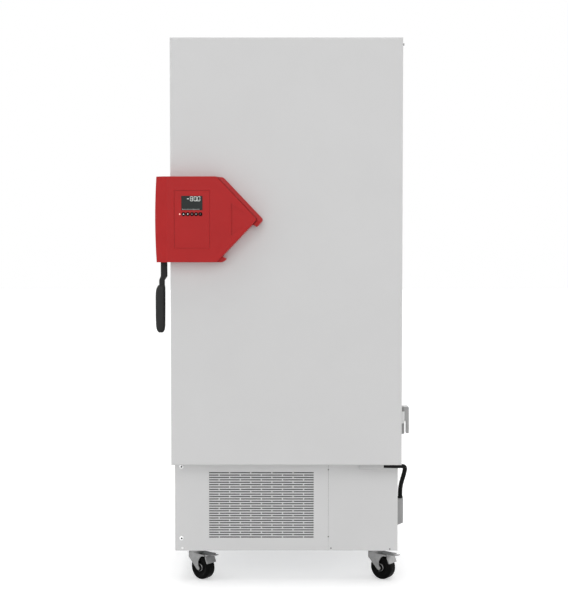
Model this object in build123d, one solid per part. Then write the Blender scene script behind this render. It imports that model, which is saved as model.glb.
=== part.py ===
"""Upright ultra low temperature freezer: an insulated cabinet and door on a machine base with four casters.

The origin lies on the floor, under the middle of the overall depth and on the cabinet's centre plane.
X points to the viewer's right, Y to the rear and Z up. The door faces the viewer, so it faces -Y.
"""
import math
import os

from build123d import *

# Overall size
width = 822.0                 # door
door_top = 1967.0
body_depth = 876.0            # door face to rear panel
caster_height = 118.0         # floor to the underside of the base
machine_height = 322.0        # machine base under the insulated body
door_overlap = 3.0            # door's edge past the cabinet's side
roof_drop = 6.0               # roof below the top of the door, room for the hinge bracket

# Sheet metal and insulation
sheet = 1.5
panel_flange = 20.0
seam = 0.5
side_wall = 105.0
rear_wall = 108.0
floor_wall = 117.0
roof_wall = 104.0
liner_sheet = 1.0
liner_cove = 5.0

# Outer door
door_thickness = 90.0
door_gap = 15.0               # door pan to cabinet front, filled by the gasket
door_lift = 13.0              # door bottom above the machine base
door_edge_radius = 6.0
pan_sheet = 2.0
pan_recess = 6.0
pan_border = 62.0
gasket_inset = 26.0
gasket_width = 22.0
gasket_rounding = 5.0
seat_clearance = 0.3          # between a piece and its seat across a joint

# Inner doors
inner_zone = 58.0             # front of the chamber that the inner doors take up
inner_door_setback = 5.0
inner_door_thickness = 40.0
inner_door_side_gap = 4.0
inner_door_edge = 4.0
inner_pivot_inset = 18.0      # pivot axis from the chamber's right wall
inner_pivot_depth = 8.0       # pivot axis behind the inner door's face
inner_pin_radius = 5.0
inner_pin_length = 20.0
pivot_pad = 16.0
pivot_pad_thickness = 3.0
pivot_arm_thickness = 4.0
pull_width = 90.0
pull_height = 34.0
pull_depth = 16.0
pull_inset = 30.0
running_clearance = 0.05      # shaft in a bore, on the radius

# Shelves
shelf_count = 3
shelf_sheet = 1.5
shelf_lip = 22.0
shelf_front_gap = 9.0
shelf_rear_gap = 12.0
shelf_slot_count = 7
shelf_slot_length = 380.0
shelf_slot_width = 12.0
pilaster_thickness = 4.0
pilaster_width = 20.0
pilaster_inset = 90.0         # pilaster centre from the front and rear of the storage space
pilaster_end_gap = 14.0
shelf_side_gap = 1.0
clip_reach = 14.0
clip_width = 16.0
clip_height = 10.0

# Access port through the rear wall
port_bore_radius = 14.0
port_wall = 4.0
port_flange_radius = 31.0
port_flange_thickness = 4.0
port_below_chamber_top = 170.0
plug_head_thickness = 6.0

# Door hinges
hinge_axis_out = 10.0         # hinge axis past the door's right side
hinge_axis_back = 7.0         # hinge axis behind the door's rear face
knuckle_radius = 9.5
knuckle_gap = 0.3
hinge_pin_radius = 6.0
hinge_strap = 4.0
hinge_strap_width = 24.0
hinge_bottom = 551.7
hinge_lower_knuckle = 38.0
hinge_middle_knuckle = 44.0
hinge_upper_knuckle = 15.0
hinge_leaf = 5.0
hinge_leaf_length = 72.0
hinge_block_gap = 0.6
hinge_block_width = 16.5
hinge_block_height = 52.0
hinge_block_front = 5.0       # stop block's front face behind the hinge axis
hinge_block_length = 44.0
hinge_leg_width = 9.5
hinge_leg_length = 26.0
hinge_bridge_length = 28.0
hinge_block_edge = 2.5
hinge_cap_height = 3.0
hinge_cap_inset = 1.5
top_bracket = 3.0
top_bracket_reach = 100.0
top_bracket_length = 66.0
top_pin_radius = 2.5
top_strap_height = 50.0
top_eye_height = 4.0
top_eye_radius = 4.5

# Control pod on the door's left edge
pod_depth = 60.0              # pod face in front of the door face
pod_housing_depth = 40.0
pod_centre_height = 1325.7
pod_height = 298.7
pod_overhang = 43.0           # past the door's left edge at the corners
pod_bulge = 5.0
pod_shoulder = 189.0          # door's left edge to the start of the slanted edges
pod_reach = 331.0             # door's left edge to the tip
pod_rim = 16.0                # rim of the housing beside the cover
pod_rim_drop = 30.0
pod_notch_start = 25.0        # notch along the lower slanted edge, below the pod's centre
pod_notch_margin = 12.3        # end of the notch above the pod's underside
pod_notch_slant = 8.0
pod_corner_radius = 10.0
pod_lower_corner = 25.0
pod_wall = 3.5
pod_wrap_depth = 98.0         # along the door's side
pod_door_gap = 0.5
pod_bearing = 2.0             # seat of the lever's shaft in the outer wall
pod_mouth_relief = 1.5        # room for the lever's crank at the end of its travel
pod_roll_width = 42.0         # slope from the cover's face to its left edge
pod_roll_drop = 17.0
pod_edge_radius = 3.0
pod_bay_margin = 12.0
pod_bay_depth = 30.0
facet_depth = 3.5
facet_left = 218.6            # door's left edge to the facet's upright edge
facet_height = 112.0
facet_tip_gap = 14.0
facet_groove = 0.7

# Control panel, display, light and keys
panel_width = 123.0
panel_height = 200.0
panel_from_edge = 20.5        # door's left edge to the panel's left edge
panel_pocket = 8.0
panel_thickness = 7.0
panel_clearance = 0.6
display_width = 73.0
display_height = 49.0
display_thickness = 3.0
display_below_top = 19.0
display_from_left = 25.0
key_count = 5
key_radius = 5.6
key_pitch = 14.6
key_row_below_top = 82.0
key_first_from_left = 32.5
key_proud = 1.5
key_length = 6.0
key_travel = 1.2
key_clearance = 0.3
light_radius = 2.6
light_proud = 0.8
light_from_first_key = 13.4

# Lever and latch
lever_axis_back = 45.0        # lever shaft behind the door face
lever_axis_up = 27.0          # lever shaft above the pod's underside
lever_shaft_radius = 7.0
lever_hub_radius = 13.0
lever_stem_width = 23.0
lever_stem_depth = 16.0
lever_edge = 2.5
lever_stem_from_door = 15.5   # door's left edge to the stem's near side
lever_stem_length = 86.0      # shaft to the crank
lever_crank = 9.3             # the neck's offset to the left
lever_neck_length = 22.6
lever_neck_taper = 3.5        # neck narrower than the stem
tang_width = 12.0
tang_depth = 9.0
tang_length = 110.0
grip_length = 170.5
grip_width = 35.6
grip_depth = 26.0
grip_from_door = 22.4
grip_edge = 7.0
hook_reach = 31.0
hook_width = 9.0
hook_height = 16.0
striker_gap = 4.0
striker_radius = 6.0
striker_plate = 4.0
striker_height = 60.0
striker_length = 56.0
striker_arm_width = 6.0
striker_arm_height = 26.0
striker_arm_out = 14.0         # arm's near face past the cabinet's side
striker_pin_length = 18.0
striker_foot = 16.0

# Machine base
pan_thickness = 3.0
pan_lip = 30.0
post_leg = 40.0
post_thickness = 3.0
seam_position = 154.3         # upright seam of the front panels, right of the centre plane
grille_left = 285.0           # left of the centre plane
grille_width = 387.0
grille_rows = 28
grille_pitch = 8.8
grille_slot = 4.3
grille_columns = 5
grille_bridge = 4.0
grille_bottom = 46.0          # above the base's underside
rear_slot_rows = 12
rear_slot_pitch = 18.0
rear_slot = 7.0
rear_slot_length = 150.0
rear_slot_columns = 3
rear_slot_gap = 30.0
rear_grille_left = 330.0
rear_grille_bottom = 56.0
inlet_from_centre = 300.0
inlet_height = 130.0
inlet_width = 31.0
inlet_tall = 26.0
inlet_depth = 24.0
inlet_flange = 9.0
inlet_flange_thickness = 3.0
inlet_corner = 3.0
inlet_cavity = 18.0
inlet_blade_setback = 6.0
switch_width = 20.0
switch_tall = 28.0
switch_above_inlet = 42.0
switch_depth = 12.0
switch_proud = 3.0
switch_pin_radius = 2.0
switch_tilt = 9.0

# Refrigeration set
filter_thickness = 8.0
filter_margin = 14.0
condenser_thickness = 54.0
condenser_gap = 6.0
shroud_depth = 46.0
shroud_sheet = 2.0
fan_radius = 108.0
fan_tip_gap = 5.0
fan_hub_radius = 30.0
fan_hub_depth = 26.0
fan_blades = 5
fan_blade_thickness = 2.5
fan_blade_pitch = 28.0
fan_shaft_radius = 4.0
motor_radius = 42.0
motor_length = 60.0
motor_strut = 14.0
compressor_radius = 88.0
compressor_height = 205.0
compressor_dome = 34.0
compressor_spacing = 330.0
compressor_from_back = 150.0
compressor_foot = 4.0
compressor_foot_width = 196.0
mount_width = 26.0
mount_height = 16.0
mount_inset = 22.0
line_radius = 5.0
line_lift = 2.0
line_loop = 40.0
box_width = 170.0
box_depth = 150.0
box_height = 210.0
box_corner = 6.0
box_from_right = 24.0
box_from_front = 24.0

# Cable from the door to the base
cable_radius = 7.0
cable_sides = 12
cable_run_back = 50.0         # cable behind the door face where it leaves its cover
cable_run_fall = 9.0          # fall of the run to the hinge axis
cable_run_drop = 13.0         # cable axis below the door
cable_cover_left = 262.0
cable_cover_right = 350.0
cable_cover_height = 21.8
cable_cover_width = 30.0
cable_cover_sheet = 1.5
cable_join_drop = 52.0        # joint of the two cable lengths below the door
cable_box_top = 305.5
cable_box_height = 88.0
cable_box_slant = 9.0
cable_box_reach = 22.2
cable_box_length = 46.0
cable_box_back = 48.0         # cable box axis behind the hinge axis
cable_box_rounding = 3.0

# Casters
wheel_radius = 44.5
wheel_width = 40.0
wheel_shoulder = 3.0
axle_radius = 4.5
caster_trail = 33.0
caster_angle = -40.0          # trailing direction about Z, from +X
caster_side_inset = 73.0
caster_front_inset = 75.0
caster_rear_inset = 80.0
head_radius = 25.5
head_height = 14.0
head_groove = 1.0
head_neck_radius = 20.0
race_radius = 24.5
race_height = 6.2
king_pin_radius = 8.0
king_nut_radius = 13.0
king_nut_height = 6.0
fork_sheet = 3.5
fork_lead = 18.0              # leading edge of the legs in front of the king pin
fork_nose = 26.0              # front of the crown
fork_nose_width = 24.0
fork_tail = 19.5              # rear of the crown past the axle
fork_tail_corner = 6.0
fork_ear = 30.0               # rear of the legs past the axle
fork_leg_gap = 1.0            # wheel side to fork leg
fork_knee = 33.0              # end of the leg's upright leading edge, above the axle
fork_trailing_edge = [(30.0, 46.5), (19.0, 46.5), (10.0, 42.5), (4.0, 35.0), (-2.5, 23.0), (-2.0, 9.0)]
fork_tip = [(6.0, 1.0), (3.0, -7.0), (-3.0, -9.0), (-9.0, -7.0)]
axle_head_radius = 7.5
axle_head = 3.0
brake_pivot_out = 25.0        # brake pivot past the axle, along the trail
brake_pivot_up = 49.0         # above the axle
brake_pin_radius = 2.0
brake_sheet = 2.0
brake_sleeve_width = 38.0
brake_width = 46.0
brake_wide_from = 31.5        # the pedal widens past the axle
brake_tongue_width = 18.0
brake_tongue = [(25.0, 53.0), (71.5, 55.5), (71.5, 53.5), (45.0, 50.0), (25.0, 50.0)]
brake_apron = [
    (25.0, 53.0),
    (45.0, 54.0),
    (45.0, 51.0),
    (33.0, 47.5),
    (45.7, 21.6),
    (43.8, 20.5),
    (28.3, 46.0),
    (25.0, 46.0),
]
brake_cheek = [(31.5, 50.0), (31.5, 41.0), (39.5, 21.5), (43.8, 20.5), (45.7, 21.6), (33.0, 49.0)]
brake_cheek_sheet = 1.5

# Places that follow from the sizes above
door_half = width / 2
half_width = door_half - door_overlap
door_front = -(body_depth - pod_depth) / 2
door_back = door_front + door_thickness
cabinet_front = door_back + door_gap
cabinet_back = door_front + body_depth
machine_top = caster_height + machine_height
door_bottom = machine_top + door_lift
roof = door_top - roof_drop
chamber_half = half_width - side_wall
chamber_floor = machine_top + floor_wall
chamber_top = roof - roof_wall
chamber_back = cabinet_back - rear_wall
store_front = cabinet_front + inner_zone
door_left = -door_half
hinge_x = door_half + hinge_axis_out
hinge_y = door_back + hinge_axis_back
pod_bottom = pod_centre_height - pod_height / 2
pod_top = pod_centre_height + pod_height / 2
pod_face = door_front - pod_depth
panel_left = door_left + panel_from_edge
panel_top = pod_centre_height + panel_height / 2
panel_face = pod_face + panel_pocket - panel_thickness
lever_y = door_front + lever_axis_back
lever_z = pod_bottom + lever_axis_up
stem_right = door_left - lever_stem_from_door
stem_left = stem_right - lever_stem_width
wrap_left = door_left - pod_overhang + pod_wall
wrap_right = door_left - pod_door_gap
inner_pivot_x = chamber_half - inner_pivot_inset
inner_pivot_y = cabinet_front + inner_door_setback + inner_pivot_depth
chamber_middle = (chamber_floor + chamber_top) / 2
machine_front = cabinet_front + sheet + sheet
axle_height = wheel_radius
crown_top = caster_height - head_height - head_groove - seat_clearance - race_height
caster_places = {
    "front_left": (-half_width + caster_side_inset, cabinet_front + caster_front_inset),
    "front_right": (half_width - caster_side_inset, cabinet_front + caster_front_inset),
    "rear_left": (-half_width + caster_side_inset, cabinet_back - caster_rear_inset),
    "rear_right": (half_width - caster_side_inset, cabinet_back - caster_rear_inset),
}


def block(x_span, y_span, z_span):
    """Box between two opposite corners."""
    centre = [(low + high) / 2 for low, high in (x_span, y_span, z_span)]
    size = [abs(high - low) for low, high in (x_span, y_span, z_span)]
    return Pos(*centre) * Box(*size)


def rod(start, end, radius):
    """Cylinder from one point to another."""
    start = Vector(*start)
    line = Vector(*end) - start
    base = Plane(origin=start, z_dir=line)
    return base * Cylinder(radius, line.length, align=(Align.CENTER, Align.CENTER, Align.MIN))


def front_plane(y):
    """Plane seen from the front: local x is X, local y is Z, and its normal points at the viewer."""
    return Plane(origin=(0, y, 0), x_dir=(1, 0, 0), z_dir=(0, -1, 0))


def side_plane(x):
    """Plane seen from the right: local x is Y, local y is Z, and its normal is +X."""
    return Plane(origin=(x, 0, 0), x_dir=(0, 1, 0), z_dir=(1, 0, 0))


def polygon(points):
    """Flat face from a closed run of points."""
    return make_face(Polyline(*points, close=True))


def group(*pieces):
    """Separate solids that share one node."""
    solids = []
    for piece in pieces:
        solids.extend(piece.solids())
    return Compound(solids)


def edges_at(shape, axis, place, tolerance=0.01):
    """Edges of a shape that lie in the plane at a place along an axis."""
    return shape.edges().filter_by_position(axis, place - tolerance, place + tolerance)


# Cabinet


def side_panel(side):
    """Full-height side sheet with its front and rear edges folded inwards."""
    outer = side * half_width
    inner = side * (half_width - sheet)
    fold = side * (half_width - panel_flange)
    front = cabinet_front + sheet
    rear = cabinet_back - sheet
    height = (caster_height, roof - sheet)
    panel = block((outer, inner), (front, rear), height)
    panel += block((inner, fold), (front, front + sheet), height)
    panel += block((inner, fold), (rear - sheet, rear), height)
    return panel


def roof_panel():
    """Flat roof between the front frame and the rear panel."""
    depth = (cabinet_front + sheet, cabinet_back - sheet)
    return block((-half_width, half_width), depth, (roof - sheet, roof))


def port_place():
    """Height of the access port's axis."""
    return chamber_top - port_below_chamber_top


def port_hole():
    """Hole that the access port's tube fills in every wall layer."""
    z = port_place()
    radius = port_bore_radius + port_wall
    return rod((0, chamber_back - liner_cove, z), (0, cabinet_back + liner_cove, z), radius)


def rear_panel():
    """Rear sheet of the insulated body."""
    height = (machine_top + seam / 2, roof)
    panel = block((-half_width, half_width), (cabinet_back - sheet, cabinet_back), height)
    return panel - port_hole()


def liner_outside():
    """Space that the chamber liner takes out of the foam."""
    half = chamber_half + liner_sheet
    return block(
        (-half, half),
        (cabinet_front + sheet, chamber_back + liner_sheet),
        (chamber_floor - liner_sheet, chamber_top + liner_sheet),
    )


def body_insulation():
    """Five foam slabs between the outer sheets and the liner, open to the front."""
    inner = half_width - sheet
    side = chamber_half + liner_sheet
    floor = chamber_floor - liner_sheet
    ceiling = chamber_top + liner_sheet
    rear = cabinet_back - sheet
    depth = (cabinet_front + sheet, rear)
    slabs = [
        block((-inner, inner), depth, (machine_top, floor)),
        block((-inner, inner), depth, (ceiling, roof - sheet)),
        block((-inner, -side), depth, (floor, ceiling)),
        block((side, inner), depth, (floor, ceiling)),
        block((-side, side), (chamber_back + liner_sheet, rear), (floor, ceiling)),
    ]
    return group(*[slab - side_panel(-1) - side_panel(1) - port_hole() for slab in slabs])


def chamber_liner():
    """Stainless inner box with slanted corners."""
    front = cabinet_front + sheet
    depth = (front - liner_cove, chamber_back)
    space = block((-chamber_half, chamber_half), depth, (chamber_floor, chamber_top))
    mouth = edges_at(space, Axis.Y, front - liner_cove)
    space = chamfer([edge for edge in space.edges() if edge not in mouth], liner_cove)
    return liner_outside() - space - port_hole()


def front_frame():
    """Flat frame around the chamber's mouth that the door gasket seals on."""
    height = (machine_top + seam / 2, roof)
    frame = block((-half_width, half_width), (cabinet_front, cabinet_front + sheet), height)
    mouth = block(
        (-chamber_half, chamber_half),
        (cabinet_front - sheet, cabinet_front + 2 * sheet),
        (chamber_floor, chamber_top),
    )
    return frame - mouth


def shelf_top(index):
    """Height of a shelf's upper face."""
    return chamber_floor + (chamber_top - chamber_floor) * (index + 1) / (shelf_count + 1)


def shelf(index):
    """Stainless tray turned upside down, with long air slots."""
    half = chamber_half - pilaster_thickness - shelf_side_gap
    front = store_front + shelf_front_gap
    rear = chamber_back - shelf_rear_gap
    top = shelf_top(index)
    tray = block((-half, half), (front, rear), (top - shelf_lip, top))
    inner = half - shelf_sheet
    tray -= block(
        (-inner, inner),
        (front + shelf_sheet, rear - shelf_sheet),
        (top - 2 * shelf_lip, top - shelf_sheet),
    )
    spacing = (rear - front) / (shelf_slot_count + 1)
    for slot in range(shelf_slot_count):
        place = front + spacing * (slot + 1)
        tray -= block(
            (-shelf_slot_length / 2, shelf_slot_length / 2),
            (place - shelf_slot_width / 2, place + shelf_slot_width / 2),
            (top - 2 * shelf_sheet, top + shelf_sheet),
        )
    return tray


def chamber_fittings():
    """Shelf pilasters with their clips, and the pivots that carry the inner doors."""
    pieces = []
    for side in (-1, 1):
        wall = side * chamber_half
        face = side * (chamber_half - pilaster_thickness)
        for place in (store_front + pilaster_inset, chamber_back - pilaster_inset):
            strip = block(
                (wall, face),
                (place - pilaster_width / 2, place + pilaster_width / 2),
                (chamber_floor + pilaster_end_gap, chamber_top - pilaster_end_gap),
            )
            for index in range(shelf_count):
                seat = shelf_top(index) - shelf_lip
                strip += block(
                    (face, face - side * clip_reach),
                    (place - clip_width / 2, place + clip_width / 2),
                    (seat - clip_height, seat),
                )
            pieces.append(strip)
    pieces.append(end_pivot(chamber_floor, 1))
    pieces.append(end_pivot(chamber_top, -1))
    arm = block(
        (inner_pivot_x - pivot_pad / 2, chamber_half),
        (inner_pivot_y - pivot_pad / 2, inner_pivot_y + pivot_pad / 2),
        (chamber_middle - pivot_arm_thickness / 2, chamber_middle + pivot_arm_thickness / 2),
    )
    reach = pivot_arm_thickness / 2 + inner_pin_length
    arm += rod(
        (inner_pivot_x, inner_pivot_y, chamber_middle - reach),
        (inner_pivot_x, inner_pivot_y, chamber_middle + reach),
        inner_pin_radius,
    )
    pieces.append(arm)
    return group(*pieces)


def end_pivot(height, up):
    """Pad on the chamber's floor or ceiling with a pin for an inner door."""
    face = height + up * pivot_pad_thickness
    half = pivot_pad / 2
    pad = block(
        (inner_pivot_x - half, inner_pivot_x + half),
        (inner_pivot_y - half, inner_pivot_y + half),
        (height, face),
    )
    pin_end = (inner_pivot_x, inner_pivot_y, face + up * inner_pin_length)
    return pad + rod((inner_pivot_x, inner_pivot_y, face), pin_end, inner_pin_radius)


def inner_door(low, high):
    """Light insulated door inside the chamber's mouth, with pin bores and a finger pull."""
    half = chamber_half - inner_door_side_gap
    front = cabinet_front + inner_door_setback
    panel = block((-half, half), (front, front + inner_door_thickness), (low, high))
    panel = chamfer(edges_at(panel, Axis.Y, front), inner_door_edge)
    bore = inner_pin_radius + running_clearance
    depth = inner_pin_length + 1
    for start, end in ((low - 1, low + depth), (high - depth, high + 1)):
        panel -= rod((inner_pivot_x, inner_pivot_y, start), (inner_pivot_x, inner_pivot_y, end), bore)
    middle = (low + high) / 2
    pull = block(
        (-half + pull_inset, -half + pull_inset + pull_width),
        (front - 1, front + pull_depth),
        (middle - pull_height / 2, middle + pull_height / 2),
    )
    pull = chamfer(pull.edges().filter_by(Axis.Y), pull_height / 3)
    return panel - pull


def access_port():
    """Flanged tube through the rear wall, closed by a soft plug."""
    z = port_place()
    outer = port_bore_radius + port_wall
    tube = rod((0, chamber_back, z), (0, cabinet_back, z), outer)
    tube += rod((0, cabinet_back, z), (0, cabinet_back + port_flange_thickness, z), port_flange_radius)
    face = cabinet_back + port_flange_thickness
    tube -= rod((0, chamber_back, z), (0, face, z), port_bore_radius)
    plug = rod((0, chamber_back, z), (0, face + plug_head_thickness, z), port_bore_radius)
    return group(tube, plug)


# Hinges


def hinge_levels():
    """Heights of the lower hinge's knuckle joints, from the bottom up."""
    first = hinge_bottom + hinge_lower_knuckle
    second = first + hinge_middle_knuckle
    return hinge_bottom, first, second, second + hinge_upper_knuckle


def knuckle(low, high):
    """Hinge barrel on the door's hinge axis."""
    return rod((hinge_x, hinge_y, low), (hinge_x, hinge_y, high), knuckle_radius)


def cabinet_hinge_leaves():
    """Lower leaf with its stop block, roof bracket, and the pins that both hinges turn on."""
    bottom, first, second, top = hinge_levels()
    leaf_front = cabinet_front + 2 * sheet
    leaf_outside = half_width + hinge_leaf
    leaf = block((half_width, leaf_outside), (leaf_front, leaf_front + hinge_leaf_length), (bottom, top))
    low = first + knuckle_gap / 2
    high = second - knuckle_gap / 2
    leaf += knuckle(low, high)
    leaf += block((half_width + knuckle_gap, hinge_x), (hinge_y, leaf_front + hinge_leaf), (low, high))
    block_left = hinge_x + knuckle_radius + hinge_block_gap
    block_right = block_left + hinge_block_width
    block_front = hinge_y + hinge_block_front
    block_back = block_front + hinge_block_length
    block_low = top - hinge_block_height
    stop = block((block_left, block_right), (block_front, block_back), (block_low, top))
    stop += block(
        (block_right - hinge_leg_width, block_right),
        (block_front, block_front + hinge_leg_length),
        (bottom, block_low),
    )
    bridge_front = block_back - hinge_bridge_length
    stop += block((half_width, block_left), (bridge_front, block_back), (block_low, top))
    crown = edges_at(stop, Axis.Z, top).filter_by(Axis.Y).sort_by(Axis.X)[-1]
    leaf += chamfer(crown, hinge_block_edge)
    leaf -= rod((hinge_x, hinge_y, low), (hinge_x, hinge_y, high), hinge_pin_radius)
    pin_top = top + knuckle_gap
    cap_top = pin_top + hinge_cap_height
    pin = rod((hinge_x, hinge_y, bottom), (hinge_x, hinge_y, pin_top), hinge_pin_radius)
    pin += rod((hinge_x, hinge_y, pin_top), (hinge_x, hinge_y, cap_top), knuckle_radius - hinge_cap_inset)
    return group(leaf, pin, top_hinge_bracket(), top_hinge_pin())


def top_hinge_bracket():
    """Tapered strap on the roof's corner that holds the upper pin over the door's eye."""
    near = cabinet_front + 4 * sheet
    edge = half_width + knuckle_gap + pod_door_gap
    right = hinge_x + top_eye_radius
    plan = polygon([
        (half_width - top_bracket_reach, near),
        (edge, near),
        (edge, hinge_y),
        (right, hinge_y),
        (right, near),
        (half_width - sheet, near + top_bracket_length),
        (half_width - top_bracket_reach, near + top_bracket_length),
    ])
    strap = extrude(Pos(0, 0, roof) * plan, top_bracket)
    strap += rod((hinge_x, hinge_y, roof), (hinge_x, hinge_y, roof + top_bracket), top_eye_radius)
    return strap - rod((hinge_x, hinge_y, roof), (hinge_x, hinge_y, roof + top_bracket), top_pin_radius)


def top_hinge_pin():
    """Upper hinge pin, fixed in the roof bracket."""
    low = roof - knuckle_gap - top_eye_height
    return rod((hinge_x, hinge_y, low), (hinge_x, hinge_y, roof + top_bracket), top_pin_radius)


def door_hinge_leaves():
    """Straps on the door's rear face with the knuckles and the upper eye."""
    bottom, first, second, top = hinge_levels()
    strap_left = door_half - hinge_strap_width
    strap_right = door_half - pod_door_gap
    strap = block((strap_left, strap_right), (door_back, door_back + hinge_strap), (bottom, top))
    for low, high in ((bottom, first - knuckle_gap / 2), (second + knuckle_gap / 2, top)):
        strap += block((strap_left, hinge_x), (door_back, door_back + hinge_strap), (low, high))
        strap += knuckle(low, high)
    bore = hinge_pin_radius + running_clearance
    strap -= rod((hinge_x, hinge_y, bottom - 1), (hinge_x, hinge_y, top + 1), bore)
    high = roof - knuckle_gap
    eye_low = high - top_eye_height
    ear_depth = (door_back, door_back + hinge_strap)
    ear = block((strap_left, strap_right), ear_depth, (high - top_strap_height, high))
    ear += block((strap_left, hinge_x), (door_back, hinge_y), (eye_low, high))
    ear += rod((hinge_x, hinge_y, eye_low), (hinge_x, hinge_y, high), top_eye_radius)
    bore = top_pin_radius + running_clearance
    ear -= rod((hinge_x, hinge_y, eye_low - 1), (hinge_x, hinge_y, high + 1), bore)
    return group(strap, ear)


# Outer door


def door_block(inset, radius, rear):
    """Door-shaped block, shrunk by an inset, with its front edges rounded."""
    half = door_half - inset
    front = door_front + inset
    body = block((-half, half), (front, rear), (door_bottom + inset, door_top - inset))
    return fillet(edges_at(body, Axis.Y, front), radius)


def door_skin():
    """Painted outer sheet of the door, open at the rear."""
    outside = door_block(0, door_edge_radius, door_back)
    return outside - door_block(sheet, door_edge_radius - sheet, door_back + 1)


def pan_tray(inset, front, rear):
    """Block for the shallow recess in the door's inner pan."""
    half = door_half - pan_border - inset
    height = (door_bottom + pan_border + inset, door_top - pan_border - inset)
    return block((-half, half), (front, rear), height)


def door_inner_pan():
    """Inner sheet of the door with its recessed middle."""
    half = door_half - sheet
    pan = block((-half, half), (door_back - pan_sheet, door_back), (door_bottom + sheet, door_top - sheet))
    pan += pan_tray(0, door_back - pan_recess - pan_sheet, door_back)
    return pan - pan_tray(pan_sheet, door_back - pan_recess, door_back + 1)


def door_insulation():
    """Foam that fills the door between its skin and its pan."""
    foam = door_block(sheet, door_edge_radius - sheet, door_back - pan_sheet)
    return foam - pan_tray(0, door_back - pan_recess - pan_sheet, door_back)


def door_gasket():
    """Soft seal around the door pan, with a rounded nose towards the cabinet."""
    nose = cabinet_front - seat_clearance
    half = door_half - gasket_inset
    ring = block((-half, half), (door_back, nose), (door_bottom + gasket_inset, door_top - gasket_inset))
    inner = half - gasket_width
    inset = gasket_inset + gasket_width
    ring -= block((-inner, inner), (door_back - 1, nose + 1), (door_bottom + inset, door_top - inset))
    return fillet(edges_at(ring, Axis.Y, nose), gasket_rounding)


# Control pod


def rim_shift():
    """Sideways shift that moves a slanted edge inwards by the rim's width."""
    rise = pod_height / 2
    run = pod_reach - pod_shoulder
    return pod_rim * math.hypot(rise, run) / rise


def pod_outline(shift, notched):
    """Arrow-shaped face of the pod in the door's own plane, with a slightly bulging left edge."""
    left = door_left - pod_overhang
    shoulder = door_left + pod_shoulder - shift
    tip = door_left + pod_reach - shift
    slope = (pod_reach - pod_shoulder) / (pod_height / 2)
    points = [(left, pod_top), (shoulder, pod_top), (tip, pod_centre_height)]
    if notched:
        inner = tip - rim_shift()
        notch_end = pod_height / 2 - pod_notch_margin
        for drop, base in (
            (pod_notch_start, tip),
            (pod_notch_start - pod_notch_slant, inner),
            (notch_end - pod_notch_slant, inner),
            (notch_end, tip),
        ):
            points.append((base - drop * slope, pod_centre_height - drop))
    points += [(shoulder, pod_bottom), (left, pod_bottom)]
    bulge = ThreePointArc((left, pod_bottom), (left - pod_bulge, pod_centre_height), (left, pod_top))
    face = make_face([*Polyline(*points).edges(), *bulge.edges()])
    corners = [
        vertex for vertex in face.vertices()
        if abs(vertex.X - shoulder) < 0.01 or abs(vertex.X - tip) < 0.01
    ]
    if notched:
        lowest = min(corners, key=lambda vertex: vertex.Y)
        corners.remove(lowest)
        face = fillet(lowest, pod_lower_corner)
        places = [(vertex.X, vertex.Y) for vertex in corners]
        corners = [
            vertex for vertex in face.vertices()
            if any(abs(vertex.X - x) + abs(vertex.Y - y) < 0.01 for x, y in places)
        ]
    return fillet(corners, pod_corner_radius)


def rim_bevel():
    """Wedge that slopes the housing's rim along the upper slanted edge."""
    rise = pod_height / 2
    run = pod_reach - pod_shoulder
    normal = Vector(rise, 0, run).normalized()
    middle = Vector(door_left + (pod_shoulder + pod_reach) / 2, door_front, pod_centre_height + rise / 2)
    along = Vector(run, 0, -rise).normalized()
    slope = pod_rim_drop / pod_rim
    over = pod_rim
    wedge = polygon([
        (-pod_rim - over, pod_housing_depth + over * slope),
        (over, pod_housing_depth - (pod_rim + over) * slope),
        (over, pod_housing_depth + over * slope),
    ])
    length = 2 * pod_height
    place = Plane(origin=middle - along * (length / 2), x_dir=normal, z_dir=along)
    return extrude(place * wedge, length)


def pod_housing():
    """Rear housing of the pod: a shallow box on the door that wraps round the door's left edge."""
    face = pod_outline(0, True)
    housing = extrude(front_plane(door_front) * face, pod_housing_depth)
    housing -= rim_bevel()
    wrap = extrude(front_plane(door_front) * face, -pod_wrap_depth)
    rear = door_front + pod_wrap_depth
    wrap &= block((door_left - 2 * pod_overhang, wrap_right), (door_front, rear), (pod_bottom, pod_top))
    housing += wrap
    front = door_front - pod_housing_depth + pod_wall
    hollow_height = (pod_bottom - 1, pod_top - pod_wall)
    housing -= block((wrap_left, wrap_right - pod_wall), (front, rear + 1), hollow_height)
    housing -= block(
        (wrap_left - pod_mouth_relief, wrap_left + 1),
        (front, rear + 1),
        (pod_bottom - 1, pod_bottom + pod_mouth_relief),
    )
    bay_right = door_left + pod_shoulder - rim_shift()
    housing -= block(
        (door_left + pod_bay_margin, bay_right),
        (door_front - pod_bay_depth, door_front + 1),
        (pod_bottom + pod_bay_margin, pod_top - pod_bay_margin),
    )
    boss_left = wrap_right - pod_wall
    housing += rod((boss_left, lever_y, lever_z), (wrap_right, lever_y, lever_z), lever_hub_radius)
    bore = lever_shaft_radius + running_clearance
    bore_left = wrap_left - pod_bearing
    return housing - rod((bore_left, lever_y, lever_z), (wrap_right + 1, lever_y, lever_z), bore)


def panel_block(clearance, front, rear):
    """Block in the place of the inset control panel."""
    return block(
        (panel_left - clearance, panel_left + panel_width + clearance),
        (front, rear),
        (panel_top - panel_height - clearance, panel_top + clearance),
    )


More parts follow.
